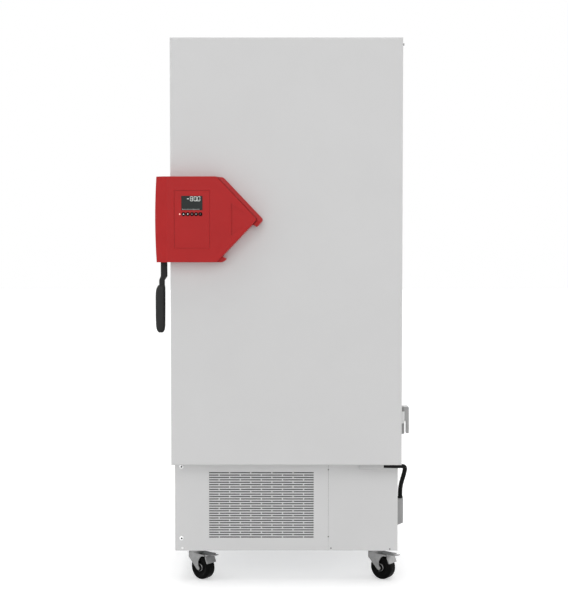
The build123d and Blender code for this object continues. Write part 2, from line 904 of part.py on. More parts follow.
def pod_cover():
    """Front cover: arrow-shaped, rolled back at its left edge, with the panel's pocket and a sunk facet."""
    rear = door_front - pod_housing_depth
    depth = pod_depth - pod_housing_depth
    cover = extrude(front_plane(rear) * pod_outline(rim_shift(), False), depth)
    crease = door_left - pod_overhang - pod_bulge + pod_roll_width
    slope = pod_roll_drop / pod_roll_width
    over = pod_roll_width
    roll = polygon([
        (crease + over, pod_face - over * slope),
        (crease - 2 * over, pod_face - over * slope),
        (crease - 2 * over, pod_face + 2 * over * slope),
    ])
    cover -= extrude(Pos(0, 0, pod_bottom - 1) * roll, pod_height + 2)
    rim = [edge for edge in edges_at(cover, Axis.Y, pod_face) if abs(edge.center().X - crease) > 1]
    cover = fillet(rim, pod_edge_radius)
    cover -= panel_block(panel_clearance, pod_face - 1, pod_face + panel_pocket)
    facet_x = door_left + facet_left
    tip = door_left + pod_reach - rim_shift() - facet_tip_gap
    half = facet_height / 2
    arrow = polygon([
        (facet_x, pod_centre_height + half),
        (tip, pod_centre_height),
        (facet_x, pod_centre_height - half),
    ])
    facet = extrude(front_plane(pod_face + facet_depth) * arrow, 2 * facet_depth)
    slope = polygon([
        (facet_x, pod_face - facet_depth),
        (facet_x, pod_face + facet_depth),
        (tip, pod_face),
        (tip, pod_face - facet_depth),
    ])
    facet &= extrude(Pos(0, 0, pod_centre_height - half) * slope, facet_height)
    cover -= facet
    cover -= block(
        (facet_x - facet_groove, facet_x),
        (pod_face - 1, pod_face + facet_depth),
        (pod_centre_height - half, pod_centre_height + half),
    )
    bay_right = door_left + pod_shoulder - 2 * rim_shift()
    return cover - block(
        (door_left + pod_bay_margin, bay_right),
        (pod_face + panel_pocket + pod_wall, rear + 1),
        (pod_bottom + 2 * pod_bay_margin, pod_top - 2 * pod_bay_margin),
    )


def key_place(index):
    """Centre of a key in the panel's plane."""
    return panel_left + key_first_from_left + index * key_pitch, panel_top - key_row_below_top


def light_place():
    """Centre of the status light in the panel's plane."""
    x, z = key_place(0)
    return x - light_from_first_key, z


def control_panel():
    """Inset panel with the display's pocket and the holes for the keys and the light."""
    panel = panel_block(0, panel_face, panel_face + panel_thickness)
    panel -= display_block(panel_clearance, panel_face - 1)
    rear = panel_face + panel_thickness + 1
    for index in range(key_count):
        x, z = key_place(index)
        panel -= rod((x, panel_face - 1, z), (x, rear, z), key_radius + key_clearance)
    x, z = light_place()
    return panel - rod((x, panel_face - 1, z), (x, rear, z), light_radius)


def display_block(clearance, front):
    """Block in the place of the display window."""
    left = panel_left + display_from_left
    top = panel_top - display_below_top
    return block(
        (left - clearance, left + display_width + clearance),
        (front, panel_face + display_thickness),
        (top - display_height - clearance, top + clearance),
    )


def status_light():
    """Small lens to the left of the keys."""
    x, z = light_place()
    return rod((x, panel_face - light_proud, z), (x, panel_face + panel_thickness, z), light_radius)


def key(index):
    """Round push key."""
    x, z = key_place(index)
    front = panel_face - key_proud
    return rod((x, front, z), (x, front + key_length, z), key_radius)


# Lever and latch


def grip_span():
    """Left side, right side, top and bottom of the grip."""
    right = door_left - grip_from_door
    top = lever_z - lever_stem_length - lever_neck_length
    return right - grip_width, right, top, top - grip_length


def tang():
    """Flat end of the lever inside the grip."""
    left, right, top, _ = grip_span()
    middle = (left + right) / 2
    return block(
        (middle - tang_width / 2, middle + tang_width / 2),
        (lever_y - tang_depth / 2, lever_y + tang_depth / 2),
        (top - tang_length, top),
    )


def handle_lever():
    """Shaft, hub, cranked stem and latch hook of the door lever."""
    front = lever_y - lever_stem_depth / 2
    stem_end = lever_z - lever_stem_length
    _, _, neck_end, _ = grip_span()
    neck_left = stem_left - lever_crank + lever_neck_taper
    stem = polygon([
        (stem_right, lever_z),
        (stem_right, stem_end + lever_crank),
        (stem_right - lever_crank, stem_end - lever_crank / 2),
        (stem_right - lever_crank, neck_end),
        (neck_left, neck_end),
        (neck_left, stem_end - lever_crank / 2),
        (stem_left, stem_end + lever_crank),
        (stem_left, lever_z),
    ])
    lever = extrude(front_plane(front) * stem, -lever_stem_depth)
    lever = chamfer(lever.edges().filter_by(Axis.Z), lever_edge)
    lever += rod((stem_left, lever_y, lever_z), (stem_right, lever_y, lever_z), lever_hub_radius)
    shaft_left = wrap_left - pod_bearing + seat_clearance
    lever += rod((shaft_left, lever_y, lever_z), (wrap_right, lever_y, lever_z), lever_shaft_radius)
    hook_middle = (stem_left + stem_right) / 2
    hook = polygon([
        (lever_y, lever_z + lever_hub_radius - 1),
        (lever_y + hook_reach, lever_z + hook_height / 2),
        (lever_y + hook_reach, lever_z - hook_height),
        (lever_y + hook_reach - hook_width, lever_z - hook_height),
        (lever_y + hook_reach - hook_width, lever_z - hook_height / 4),
        (lever_y, lever_z - hook_height / 4),
    ])
    lever += extrude(side_plane(hook_middle - hook_width / 2) * hook, hook_width)
    return lever + tang()


def handle_grip():
    """Moulded grip with a flattened back, drawn in at the top and rounded at the end."""
    left, right, top, bottom = grip_span()
    middle = (left + right) / 2
    shape = polygon([
        (middle - grip_width / 5, top),
        (right - 2, top),
        (right, top - grip_width / 2),
        (right - 1, bottom + grip_width / 2),
        (middle + grip_width / 6, bottom),
        (middle - grip_width / 6, bottom),
        (left + 1.5, bottom + grip_width / 2),
        (left, top - grip_width / 2),
    ])
    grip = extrude(front_plane(lever_y - grip_depth / 2) * shape, -grip_depth)
    rims = [edge for edge in grip.edges() if abs(edge.center().Y - lever_y) > grip_depth / 2 - 0.01]
    return chamfer(rims, grip_edge) - tang()


def latch_striker():
    """Plate on the cabinet's left side with an arm and a roller pin in front of the latch hook."""
    side = -half_width
    rear = cabinet_front + 2 * sheet
    plate = block(
        (side - striker_plate, side),
        (rear, rear + striker_length),
        (lever_z - striker_height / 2, lever_z + striker_height / 2),
    )
    plate = fillet(plate.edges().filter_by(Axis.X), striker_plate)
    pin_y = lever_y + hook_reach + striker_gap + striker_radius
    arm_right = side - striker_arm_out
    arm_left = arm_right - striker_arm_width
    height = (lever_z - striker_arm_height / 2, lever_z + striker_arm_height / 2)
    plate += block((arm_left, side), (rear, rear + striker_foot), height)
    arm_front = pin_y - striker_arm_height / 2
    arm = block((arm_left, arm_right), (arm_front, rear + striker_foot), height)
    plate += fillet(edges_at(arm, Axis.Y, arm_front).filter_by(Axis.X), striker_arm_width)
    pin_left = arm_left - striker_pin_length
    return plate + rod((arm_right, pin_y, lever_z), (pin_left, pin_y, lever_z), striker_radius)


# Machine base


def base_frame():
    """Floor pan with upturned lips, corner posts and the deck that carries the insulated body."""
    half = half_width - sheet
    front = machine_front
    rear = cabinet_back - 2 * sheet
    floor = caster_height
    pan = block((-half, half), (front, rear), (floor, floor + pan_lip))
    inner = half - pan_thickness
    pan -= block(
        (-inner, inner),
        (front + pan_thickness, rear - pan_thickness),
        (floor + pan_thickness, floor + 2 * pan_lip),
    )
    deck = block((-half, half), (front, rear), (machine_top - sheet, machine_top))
    pieces = [pan, deck]
    for x in (-1, 1):
        for y, turn in ((front + pan_thickness, 1), (rear - pan_thickness, -1)):
            corner = x * inner
            height = (floor + pan_thickness, machine_top - sheet)
            post = block((corner, corner - x * post_leg), (y, y + turn * post_thickness), height)
            post += block((corner, corner - x * post_thickness), (y, y + turn * post_leg), height)
            pieces.append(post)
    return group(*pieces)


def slot_rows():
    """Left end, right end and height of every air slot, in a brick pattern."""
    pitch = grille_width / grille_columns
    slots = []
    for row in range(grille_rows):
        z = caster_height + grille_bottom + (row + 0.5) * grille_pitch
        shift = 0 if row % 2 else pitch / 2
        ends = [-grille_left + shift + pitch * column for column in range(-1, grille_columns + 1)]
        for left in ends:
            start = max(left + grille_bridge / 2, -grille_left + grille_bridge / 2)
            stop = min(left + pitch - grille_bridge / 2, -grille_left + grille_width - grille_bridge / 2)
            if stop - start > grille_slot:
                slots.append((start, stop, z))
    return slots


def front_span():
    """Depth and height of the base's front panels."""
    return (cabinet_front, cabinet_front + sheet), (caster_height, machine_top - seam / 2)


def front_grille_panel():
    """Left front panel of the base with its air slots."""
    depth, height = front_span()
    panel = block((-half_width, seam_position - seam / 2), depth, height)
    holes = Sketch() + [
        Pos((start + stop) / 2, z) * Rectangle(stop - start, grille_slot) for start, stop, z in slot_rows()
    ]
    return panel - extrude(front_plane(cabinet_front + 2 * sheet) * holes, 3 * sheet)


def front_service_panel():
    """Plain right front panel of the base."""
    depth, height = front_span()
    return block((seam_position + seam / 2, half_width), depth, height)


def inlet_block(margin, front, rear):
    """Block in the place of the mains inlet."""
    half = inlet_width / 2 + margin
    middle = caster_height + inlet_height
    return block(
        (inlet_from_centre - half, inlet_from_centre + half),
        (front, rear),
        (middle - inlet_tall / 2 - margin, middle + inlet_tall / 2 + margin),
    )


def switch_block(margin, front, rear):
    """Block in the place of the mains switch."""
    half = switch_width / 2 + margin
    middle = caster_height + inlet_height + switch_above_inlet
    return block(
        (inlet_from_centre - half, inlet_from_centre + half),
        (front, rear),
        (middle - switch_tall / 2 - margin, middle + switch_tall / 2 + margin),
    )


def rear_grille_panel():
    """Rear panel of the machine room with air slots and the cut-out for the mains inlet."""
    height = (caster_height, machine_top - seam / 2)
    panel = block((-half_width, half_width), (cabinet_back - sheet, cabinet_back), height)
    holes = []
    for row in range(rear_slot_rows):
        z = caster_height + rear_grille_bottom + (row + 0.5) * rear_slot_pitch
        for column in range(rear_slot_columns):
            start = -rear_grille_left + column * (rear_slot_length + rear_slot_gap)
            holes.append(Pos(start + rear_slot_length / 2, z) * Rectangle(rear_slot_length, rear_slot))
    panel -= extrude(front_plane(cabinet_back + sheet) * (Sketch() + holes), 3 * sheet)
    return panel - inlet_body(cabinet_back + 1)


def inlet_body(rear):
    """Body of the mains inlet and its switch bay, behind the flange."""
    front = cabinet_back - inlet_depth
    return inlet_block(0, front, rear) + switch_block(3, front, rear)


def power_inlet():
    """Flanged mains inlet with its three contact blades and the bay for the switch."""
    face = cabinet_back + inlet_flange_thickness
    inlet = inlet_body(cabinet_back)
    for bay in (inlet_block, switch_block):
        flange = bay(inlet_flange, cabinet_back, face)
        inlet += fillet(flange.edges().filter_by(Axis.Y), inlet_corner)
    cavity = inlet_block(-2.5, face - inlet_cavity, face + 1)
    inlet -= chamfer(cavity.edges().filter_by(Axis.Y).sort_by(Axis.Z)[-2:], 5)
    inlet -= switch_block(seat_clearance, face - switch_depth - 3, face + 1)
    middle = caster_height + inlet_height
    for x, z in ((-7, -3), (0, 4), (7, -3)):
        inlet += block(
            (inlet_from_centre + x - 1, inlet_from_centre + x + 1),
            (face - inlet_cavity - 1, face - inlet_blade_setback),
            (middle + z - 3, middle + z + 3),
        )
    middle = caster_height + inlet_height + switch_above_inlet
    pin_y = face - switch_depth / 2
    half = switch_width / 2 + 2
    pin_start = (inlet_from_centre - half, pin_y, middle)
    return inlet + rod(pin_start, (inlet_from_centre + half, pin_y, middle), switch_pin_radius)


def main_switch():
    """Rocker with a hollow face, tilted about its pin."""
    face = cabinet_back + inlet_flange_thickness
    middle = caster_height + inlet_height + switch_above_inlet
    pin_y = face - switch_depth / 2
    half = switch_tall / 2 - 2
    side = polygon([
        (-switch_depth / 2 + 2, -half + 3),
        (switch_depth / 2 + 1, -half),
        (switch_depth / 2 - 0.5, 0),
        (switch_depth / 2 + 1, half),
        (-switch_depth / 2 + 2, half - 3),
    ])
    start = inlet_from_centre - switch_width / 2 + 0.5
    rocker = extrude(side_plane(0) * side, switch_width - 1)
    rocker = Pos(start, pin_y, middle) * Rot(-switch_tilt / 2, 0, 0) * rocker
    bore = 2 + running_clearance
    return rocker - rod((start - 1, pin_y, middle), (start + switch_width, pin_y, middle), bore)


# Refrigeration set


def core_span():
    """Width and height of the air path behind the front grille."""
    left = -grille_left - filter_margin
    low = caster_height + grille_bottom - filter_margin
    high = caster_height + grille_bottom + grille_rows * grille_pitch + filter_margin
    return left, left + grille_width + 2 * filter_margin, low, high


def air_filter():
    """Framed filter mat against the inside of the front grille."""
    left, right, low, high = core_span()
    front = cabinet_front + sheet
    mat = block((left, right), (front, front + filter_thickness), (low, high))
    border = filter_margin / 2
    window = block(
        (left + border, right - border),
        (front - 1, front + filter_thickness / 3),
        (low + border, high - border),
    )
    return mat - window


def condenser():
    """Finned core framed by two end plates and two side plates."""
    left, right, low, high = core_span()
    front = cabinet_front + sheet + filter_thickness
    rear = front + condenser_thickness
    core = block((left + 2, right - 2), (front + 2, rear - 2), (low + 2, high - 2))
    core += block((left, left + 2), (front, rear), (low, high))
    core += block((right - 2, right), (front, rear), (low, high))
    core += block((left, right), (front, rear), (low, low + 2))
    core += block((left, right), (front, rear), (high - 2, high))
    return core


def fan_middle():
    """Centre of the fan's shroud ring."""
    left, right, low, high = core_span()
    rear = cabinet_front + sheet + filter_thickness + condenser_thickness
    return (left + right) / 2, rear + shroud_depth / 2, (low + high) / 2


def fan_shroud():
    """Box shroud behind the condenser with a round throat, and the motor on its bracket."""
    left, right, low, high = core_span()
    x, y, z = fan_middle()
    front = y - shroud_depth / 2
    rear = y + shroud_depth / 2
    shroud = block((left, right), (front, rear), (low, high))
    shroud -= block(
        (left + shroud_sheet, right - shroud_sheet),
        (front - 1, rear - shroud_sheet),
        (low + shroud_sheet, high - shroud_sheet),
    )
    throat = fan_radius + fan_tip_gap
    shroud -= rod((x, front, z), (x, rear + 1, z), throat)
    motor_front = rear + 2 * shroud_sheet
    for turn in (0, 90):
        strut = Box(2 * throat + 2 * motor_strut, shroud_sheet, motor_strut)
        shroud += Pos(x, rear + shroud_sheet / 2, z) * Rot(0, turn + 45, 0) * strut
    shroud -= rod((x, rear - 1, z), (x, rear + 2 * shroud_sheet, z), fan_shaft_radius + 4)
    motor = rod((x, rear + shroud_sheet, z), (x, motor_front + motor_length, z), motor_radius)
    motor += rod((x, y - fan_hub_depth / 2, z), (x, rear + shroud_sheet, z), fan_shaft_radius)
    return group(shroud, motor)


def condenser_fan():
    """Hub with pitched blades that sweep back towards their tips."""
    x, y, z = fan_middle()
    hub = rod((x, y - fan_hub_depth / 2, z), (x, y + fan_hub_depth / 2, z), fan_hub_radius)
    blade = polygon([
        (fan_hub_radius - 4, -14),
        (fan_radius - 6, -30),
        (fan_radius, -8),
        (fan_radius - 4, 22),
        (fan_hub_radius - 4, 12),
    ])
    tip = rod((0, -fan_hub_depth, 0), (0, fan_hub_depth, 0), fan_radius)
    blade = extrude(front_plane(fan_blade_thickness / 2) * blade, fan_blade_thickness)
    blade = (Rot(fan_blade_pitch, 0, 0) * blade) & tip
    for index in range(fan_blades):
        hub += Pos(x, y, z) * Rot(0, 360 / fan_blades * index, 0) * blade
    bore = fan_shaft_radius + running_clearance
    return hub - rod((x, y - fan_hub_depth, z), (x, y + fan_hub_depth, z), bore)


def compressor_places():
    """Centres of the two compressors on the floor pan."""
    y = cabinet_back - compressor_from_back
    return (-compressor_spacing / 2 - 60, y), (compressor_spacing / 2 - 60, y)


def compressors():
    """Two welded hermetic shells on their foot plates, with terminal covers."""
    foot = caster_height + pan_thickness + mount_height
    pieces = []
    for x, y in compressor_places():
        shell = rod((0, 0, 0), (0, 0, compressor_height), compressor_radius)
        shell = chamfer(edges_at(shell, Axis.Z, compressor_height), compressor_dome)
        half = compressor_foot_width / 2
        plate = block((-half, half), (-half, half), (0, compressor_foot))
        cover = block((compressor_radius - 8, compressor_radius + 22), (-32, 32), (60, 130))
        pieces.append(Pos(x, y, foot) * (shell + plate + cover))
    return group(*pieces)


def compressor_mounts():
    """Rubber feet between the compressors' plates and the floor pan."""
    floor = caster_height + pan_thickness
    offset = compressor_foot_width / 2 - mount_inset
    foot = Pos(0, 0, floor + mount_height / 2) * Box(mount_width, mount_width, mount_height)
    pieces = []
    for x, y in compressor_places():
        for side in (-1, 1):
            for end in (-1, 1):
                pieces.append(Pos(x + side * offset, y + end * offset, 0) * foot)
    return group(*pieces)


def refrigerant_lines():
    """Copper lines: one between the two stages and one from the second compressor to the condenser."""
    _, _, _, high = core_span()
    (first_x, y), (second_x, _) = compressor_places()
    top = caster_height + pan_thickness + mount_height + compressor_height
    crest = high + line_radius + line_lift
    front = cabinet_front + sheet + filter_thickness + condenser_thickness / 2
    out = y - compressor_radius / 2
    joined = bent_tube([
        (first_x, y, top),
        (first_x, y, top + line_loop),
        (second_x, y, top + line_loop),
        (second_x, y, top),
    ])
    discharge = bent_tube([
        (second_x, out, top),
        (second_x, out, crest),
        (second_x, front, crest),
        (second_x, front, high),
    ])
    return group(joined, discharge)


def bent_tube(points):
    """Copper tube along straight runs, joined by tight elbows."""
    path = Polyline(*points)
    section = Plane(origin=path @ 0, z_dir=path % 0) * Circle(line_radius)
    return sweep(section, path, transition=Transition.RIGHT)


def electrical_box():
    """Closed control box behind the service panel, with a raised lid."""
    right = half_width - panel_flange - box_from_right
    front = machine_front + box_from_front
    top = machine_top - sheet
    body = block((right - box_width, right), (front, front + box_depth), (top - box_height, top))
    body = fillet(body.edges().filter_by(Axis.Z), box_corner)
    lid = block(
        (right - box_width + box_corner, right - box_corner),
        (front - 4, front),
        (top - box_height + box_corner, top - box_corner),
    )
    return body + lid


# Cable between the door and the base


def cable_cover():
    """Small channel under the door that the cable comes out of."""
    y = door_front + cable_run_back
    half = cable_cover_width / 2
    low = door_bottom - cable_cover_height
    cover = block((cable_cover_left, cable_cover_right), (y - half, y + half), (low, door_bottom))
    cover = fillet(edges_at(cover, Axis.Z, low).filter_by(Axis.X), 4)
    inner = half - cable_cover_sheet
    return cover - block(
        (cable_cover_left + cable_cover_sheet, cable_cover_right + 1),
        (y - inner, y + inner),
        (low + cable_cover_sheet, door_bottom + 1),
    )


def cable(points, radius):
    """Round cable along straight runs and one tangent arc at each inner point."""
    path = FilletPolyline(*points, radius=radius)
    section = RegularPolygon(cable_radius, cable_sides)
    return sweep(Plane(origin=path @ 0, z_dir=path % 0) * section, path)


def bend_radii(points):
    """Largest bend at each inner point: 0.45 of the shorter run over the tangent of half the turn."""
    radii = []
    for before, here, after in zip(points, points[1:], points[2:]):
        first = Vector(*here) - Vector(*before)
        second = Vector(*after) - Vector(*here)
        turn = math.radians(first.get_angle(second))
        radii.append(0.45 * min(first.length, second.length) / math.tan(turn / 2))
    return radii


def cable_join():
    """Point on the hinge axis where the door's cable length meets the cabinet's."""
    return hinge_x, hinge_y, door_bottom - cable_join_drop


def door_cable_upper():
    """Cable on the door: out of its cover, along under the door to the hinge axis, and down."""
    z = door_bottom - cable_run_drop
    start = (cable_cover_right - 4, door_front + cable_run_back, z)
    points = [start, (hinge_x, hinge_y, z - cable_run_fall), cable_join()]
    radii = bend_radii(points)
    print("door_cable_upper radii", [round(radius, 1) for radius in radii])
    return cable(points, radii)


def cable_box_place():
    """Depth of the cable box's axis."""
    return hinge_y + cable_box_back


def door_cable_lower():
    """Cable on the cabinet: down from the hinge axis and back into the cable box."""
    x, y, z = cable_join()
    rear = cable_box_place()
    end = cable_box_top
    points = [
        (x, y, z),
        (x, y + 2, z - 24),
        (x, rear - 2, end + 24),
        (x, rear, end),
    ]
    radii = bend_radii(points)
    print("door_cable_lower radii", [round(radius, 1) for radius in radii])
    tube = cable(points, radii)
    low_end = block((x - 20, x + 20), (rear - 30, rear + 30), (end - 20, end))
    high_end = block((x - 20, x + 20), (y - 20, y + 20), (z, z + 20))
    return tube - low_end - high_end


def cable_box():
    """Grey cable box on the base's right side, with a slanted underside."""
    y = cable_box_place()
    half = cable_box_length / 2
    low = cable_box_top - cable_box_height
    front = polygon([
        (half_width, cable_box_top),
        (half_width + cable_box_reach, cable_box_top),
        (half_width + cable_box_reach, low),
        (half_width, low - cable_box_slant),
    ])
    box = extrude(front_plane(y - half) * front, -cable_box_length)
    outer = box.edges().filter_by(Axis.Z).filter_by_position(
        Axis.X, half_width + cable_box_reach - 0.1, half_width + cable_box_reach + 0.1
    )
    return fillet(outer, cable_box_rounding)


# Casters, built at the origin with the trail along +X and moved into place


def place_caster(name, piece):
    """Turns a caster piece to its trailing direction and moves it under the base."""
    x, y = caster_places[name]
    return Pos(x, y, 0) * Rot(0, 0, caster_angle) * piece


def caster_head():
    """Round swivel head under the base, with the king pin and its lock nut."""
    low = caster_height - head_height
    neck_low = low - head_groove
    head = rod((0, 0, low), (0, 0, caster_height), head_radius)
    head += rod((0, 0, neck_low), (0, 0, low), head_neck_radius)
    nut_low = crown_top - fork_sheet - seat_clearance - king_nut_height
    head += rod((0, 0, nut_low), (0, 0, neck_low), king_pin_radius)
    return head + Pos(0, 0, nut_low) * extrude(RegularPolygon(king_nut_radius, 6), king_nut_height)


def caster_heads():
    """Four swivel heads bolted under the base."""
    pieces = []
    for x, y in caster_places.values():
        pieces.append(Pos(x, y, 0) * caster_head())
    return group(*pieces)


def fork_leg_inside():
    """Distance of a fork leg's inner face from the wheel's middle plane."""
    return wheel_width / 2 + fork_leg_gap


def from_axle(points):
    """Points in a caster's side view, measured from its axle."""
    return [(caster_trail + x, axle_height + z) for x, z in points]


def caster_fork(braked):
    """Pressed fork: race ring, crown, two swept-back legs, axle bolt and, if braked, the pedal's pin."""
    inside = fork_leg_inside()
    outside = inside + fork_sheet
    low = crown_top - fork_sheet
    tail = caster_trail + fork_tail
    corner = fork_tail_corner
    plan = polygon([
        (-fork_lead, -outside),
        (tail - corner, -outside),
        (tail, corner - outside),
        (tail, outside - corner),
        (tail - corner, outside),
        (-fork_lead, outside),
        (-fork_nose, fork_nose_width / 2),
        (-fork_nose, -fork_nose_width / 2),
    ])
    fork = extrude(Pos(0, 0, low) * plan, fork_sheet)
    race_top = crown_top + race_height
    fork += rod((0, 0, crown_top), (0, 0, race_top), race_radius)
    fork -= rod((0, 0, low - 1), (0, 0, race_top + 1), king_pin_radius + running_clearance)
    leg = polygon([
        (-fork_lead, crown_top),
        (caster_trail + fork_ear, crown_top),
        *from_axle(fork_trailing_edge),
        *from_axle(fork_tip),
        (-fork_lead, axle_height + fork_knee),
    ])
    for start in (inside, -outside):
        fork += extrude(front_plane(start) * leg, -fork_sheet)
    axle_start = (caster_trail, -inside - 1, axle_height)
    fork += rod(axle_start, (caster_trail, inside + 1, axle_height), axle_radius)
    bolt_head = RegularPolygon(axle_head_radius, 6)
    for start in (outside, -outside - axle_head):
        fork += extrude(front_plane(start) * Pos(caster_trail, axle_height) * bolt_head, -axle_head)
    if braked:
        pivot_x, pivot_z = brake_pivot()
        fork += rod((pivot_x, -inside - 1, pivot_z), (pivot_x, inside + 1, pivot_z), brake_pin_radius)
    return fork


def caster_wheel():
    """Solid wheel with chamfered tread shoulders and a bore for the axle."""
    half = wheel_width / 2
    wheel = rod((caster_trail, -half, axle_height), (caster_trail, half, axle_height), wheel_radius)
    rims = edges_at(wheel, Axis.Y, -half) + edges_at(wheel, Axis.Y, half)
    wheel = chamfer(rims, wheel_shoulder)
    bore = axle_radius + running_clearance
    return wheel - rod((caster_trail, -half, axle_height), (caster_trail, half, axle_height), bore)


def brake_pivot():
    """Place of the brake pedal's pin in a caster's side view."""
    return caster_trail + brake_pivot_out, axle_height + brake_pivot_up


def brake_pedal():
    """Pedal over the wheel's trailing side: sleeve on its pin, tongue, wide apron and two slim cheeks."""
    pivot_x, pivot_z = brake_pivot()
    narrow = brake_sleeve_width / 2
    wide = brake_width / 2
    tongue_half = brake_tongue_width / 2
    pedal = rod((pivot_x, -narrow, pivot_z), (pivot_x, narrow, pivot_z), brake_pin_radius + brake_sheet)
    pedal += extrude(front_plane(tongue_half) * polygon(from_axle(brake_tongue)), brake_tongue_width)
    apron = polygon(from_axle(brake_apron))
    pedal += extrude(front_plane(narrow) * apron, brake_sleeve_width)
    far_end = caster_trail + max(x for x, _ in brake_apron)
    wide_part = block(
        (caster_trail + brake_wide_from, far_end),
        (-wide, wide),
        (axle_height, crown_top + brake_sheet),
    )
    pedal += extrude(front_plane(wide) * apron, brake_width) & wide_part
    cheek = polygon(from_axle(brake_cheek))
    for start in (wide, brake_cheek_sheet - wide):
        pedal += extrude(front_plane(start) * cheek, brake_cheek_sheet)
    bore = brake_pin_radius + running_clearance
    return pedal - rod((pivot_x, -wide, pivot_z), (pivot_x, wide, pivot_z), bore)


def build():
    """Every node of the freezer by name."""
    nodes = {
        "side_panel_left": side_panel(-1),
        "side_panel_right": side_panel(1),
        "roof_panel": roof_panel(),
        "rear_panel": rear_panel(),
        "body_insulation": body_insulation(),
        "chamber_liner": chamber_liner(),
        "front_frame": front_frame(),
        "shelves": group(*[shelf(index) for index in range(shelf_count)]),
        "chamber_fittings": chamber_fittings(),
        "access_port": access_port(),
        "cabinet_hinge_leaves": cabinet_hinge_leaves(),
        "latch_striker": latch_striker(),
        "base_frame": base_frame(),
        "front_grille_panel": front_grille_panel(),
        "front_service_panel": front_service_panel(),
        "rear_grille_panel": rear_grille_panel(),
        "air_filter": air_filter(),
        "condenser": condenser(),
        "fan_shroud": fan_shroud(),
        "condenser_fan": condenser_fan(),
        "compressors": compressors(),
        "compressor_mounts": compressor_mounts(),
        "refrigerant_lines": refrigerant_lines(),
        "electrical_box": electrical_box(),
        "power_inlet": power_inlet(),
        "main_switch": main_switch(),
        "cable_box": cable_box(),
        "door_cable_lower": door_cable_lower(),
        "caster_heads": caster_heads(),
        "door_skin": door_skin(),
        "door_insulation": door_insulation(),
        "door_inner_pan": door_inner_pan(),
        "door_gasket": door_gasket(),
        "door_hinge_leaves": door_hinge_leaves(),
        "pod_housing": pod_housing(),
        "pod_cover": pod_cover(),
        "control_panel": control_panel(),
        "display": display_block(0, panel_face),
        "status_light": status_light(),
        "door_cable_upper": door_cable_upper(),
        "cable_cover": cable_cover(),
        "handle_lever": handle_lever(),
        "handle_grip": handle_grip(),
    }
    for index in range(key_count):
        nodes[f"key_{index + 1}"] = key(index)
    door_gap_half = pivot_arm_thickness / 2 + seat_clearance
    end_gap = pivot_pad_thickness + seat_clearance
    nodes["inner_door_lower"] = inner_door(chamber_floor + end_gap, chamber_middle - door_gap_half)
    nodes["inner_door_upper"] = inner_door(chamber_middle + door_gap_half, chamber_top - end_gap)
    for name in caster_places:
        braked = name.startswith("front")
        nodes[f"caster_fork_{name}"] = place_caster(name, caster_fork(braked))
        nodes[f"caster_wheel_{name}"] = place_caster(name, caster_wheel())
        if braked:
            nodes[f"caster_brake_{name}"] = place_caster(name, brake_pedal())
    return nodes


os.makedirs("parts", exist_ok=True)
for node_name, node_shape in build().items():
    export_step(node_shape, f"parts/{node_name}.step")
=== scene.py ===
"""Looks of the ultra low temperature freezer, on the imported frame."""
import math

import bmesh
import bpy
from mathutils import Matrix, Vector


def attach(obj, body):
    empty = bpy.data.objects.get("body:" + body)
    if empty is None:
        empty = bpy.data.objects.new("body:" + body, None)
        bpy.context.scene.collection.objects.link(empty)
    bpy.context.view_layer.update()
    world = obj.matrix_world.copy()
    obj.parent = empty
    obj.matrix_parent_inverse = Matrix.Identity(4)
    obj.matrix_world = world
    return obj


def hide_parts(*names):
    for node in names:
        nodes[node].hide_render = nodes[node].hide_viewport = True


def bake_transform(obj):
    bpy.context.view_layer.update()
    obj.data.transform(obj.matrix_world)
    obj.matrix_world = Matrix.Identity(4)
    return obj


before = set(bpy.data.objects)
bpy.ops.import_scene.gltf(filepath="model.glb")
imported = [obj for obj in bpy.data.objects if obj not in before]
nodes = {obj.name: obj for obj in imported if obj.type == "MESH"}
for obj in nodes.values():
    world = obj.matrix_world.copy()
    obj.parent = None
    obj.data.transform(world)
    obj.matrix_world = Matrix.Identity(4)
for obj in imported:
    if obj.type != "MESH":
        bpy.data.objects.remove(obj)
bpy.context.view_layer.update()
scene = bpy.context.scene

# Camera, fitted to the photograph's perspective
camera_place = (-0.0086, -4.225, 1.181)
camera_pitch = math.radians(90 - 2.074)
camera_lens = 64.67
camera_sensor = 36

# Colours as linear values
cabinet_grey = (0.625, 0.625, 0.625)
# painted light: the base's panels get the cabinet's grey made lighter, offsetting the shade they get under
# the door
base_grey_lightened = (0.648, 0.648, 0.648)
pod_red = (0.405, 0.0108, 0.0115)
black = (0.010, 0.010, 0.010)
deep_black = (0.003, 0.003, 0.003)
grip_black = (0.017, 0.017, 0.017)
lever_black = (0.007, 0.007, 0.007)
key_black = (0.003, 0.002, 0.002)


# Material helpers


def start_material(name, metallic=0.0):
    """New node material with its tree and its shader."""
    made = bpy.data.materials.new(name)
    made.use_nodes = True
    tree = made.node_tree
    shader = tree.nodes["Principled BSDF"]
    shader.inputs["Metallic"].default_value = metallic
    return made, tree, shader


def coordinates(tree, stretch=(1, 1, 1)):
    """Coordinates of the piece itself in metres, stretched along its axes."""
    where = tree.nodes.new("ShaderNodeTexCoord")
    mapping = tree.nodes.new("ShaderNodeMapping")
    mapping.inputs["Scale"].default_value = stretch
    tree.links.new(where.outputs["Object"], mapping.inputs["Vector"])
    return mapping.outputs["Vector"]


def noise(tree, vector, scale, detail=3.0, roughness=0.55):
    """Noise between 0 and 1."""
    made = tree.nodes.new("ShaderNodeTexNoise")
    made.inputs["Scale"].default_value = scale
    made.inputs["Detail"].default_value = detail
    made.inputs["Roughness"].default_value = roughness
    tree.links.new(vector, made.inputs["Vector"])
    return made.outputs["Fac"]


def cells(tree, vector, scale, output="Distance"):
    """Cell pattern: distance to the cell's middle, or one colour per cell."""
    made = tree.nodes.new("ShaderNodeTexVoronoi")
    made.feature = "F1"
    made.inputs["Scale"].default_value = scale
    tree.links.new(vector, made.inputs["Vector"])
    return made.outputs[output]


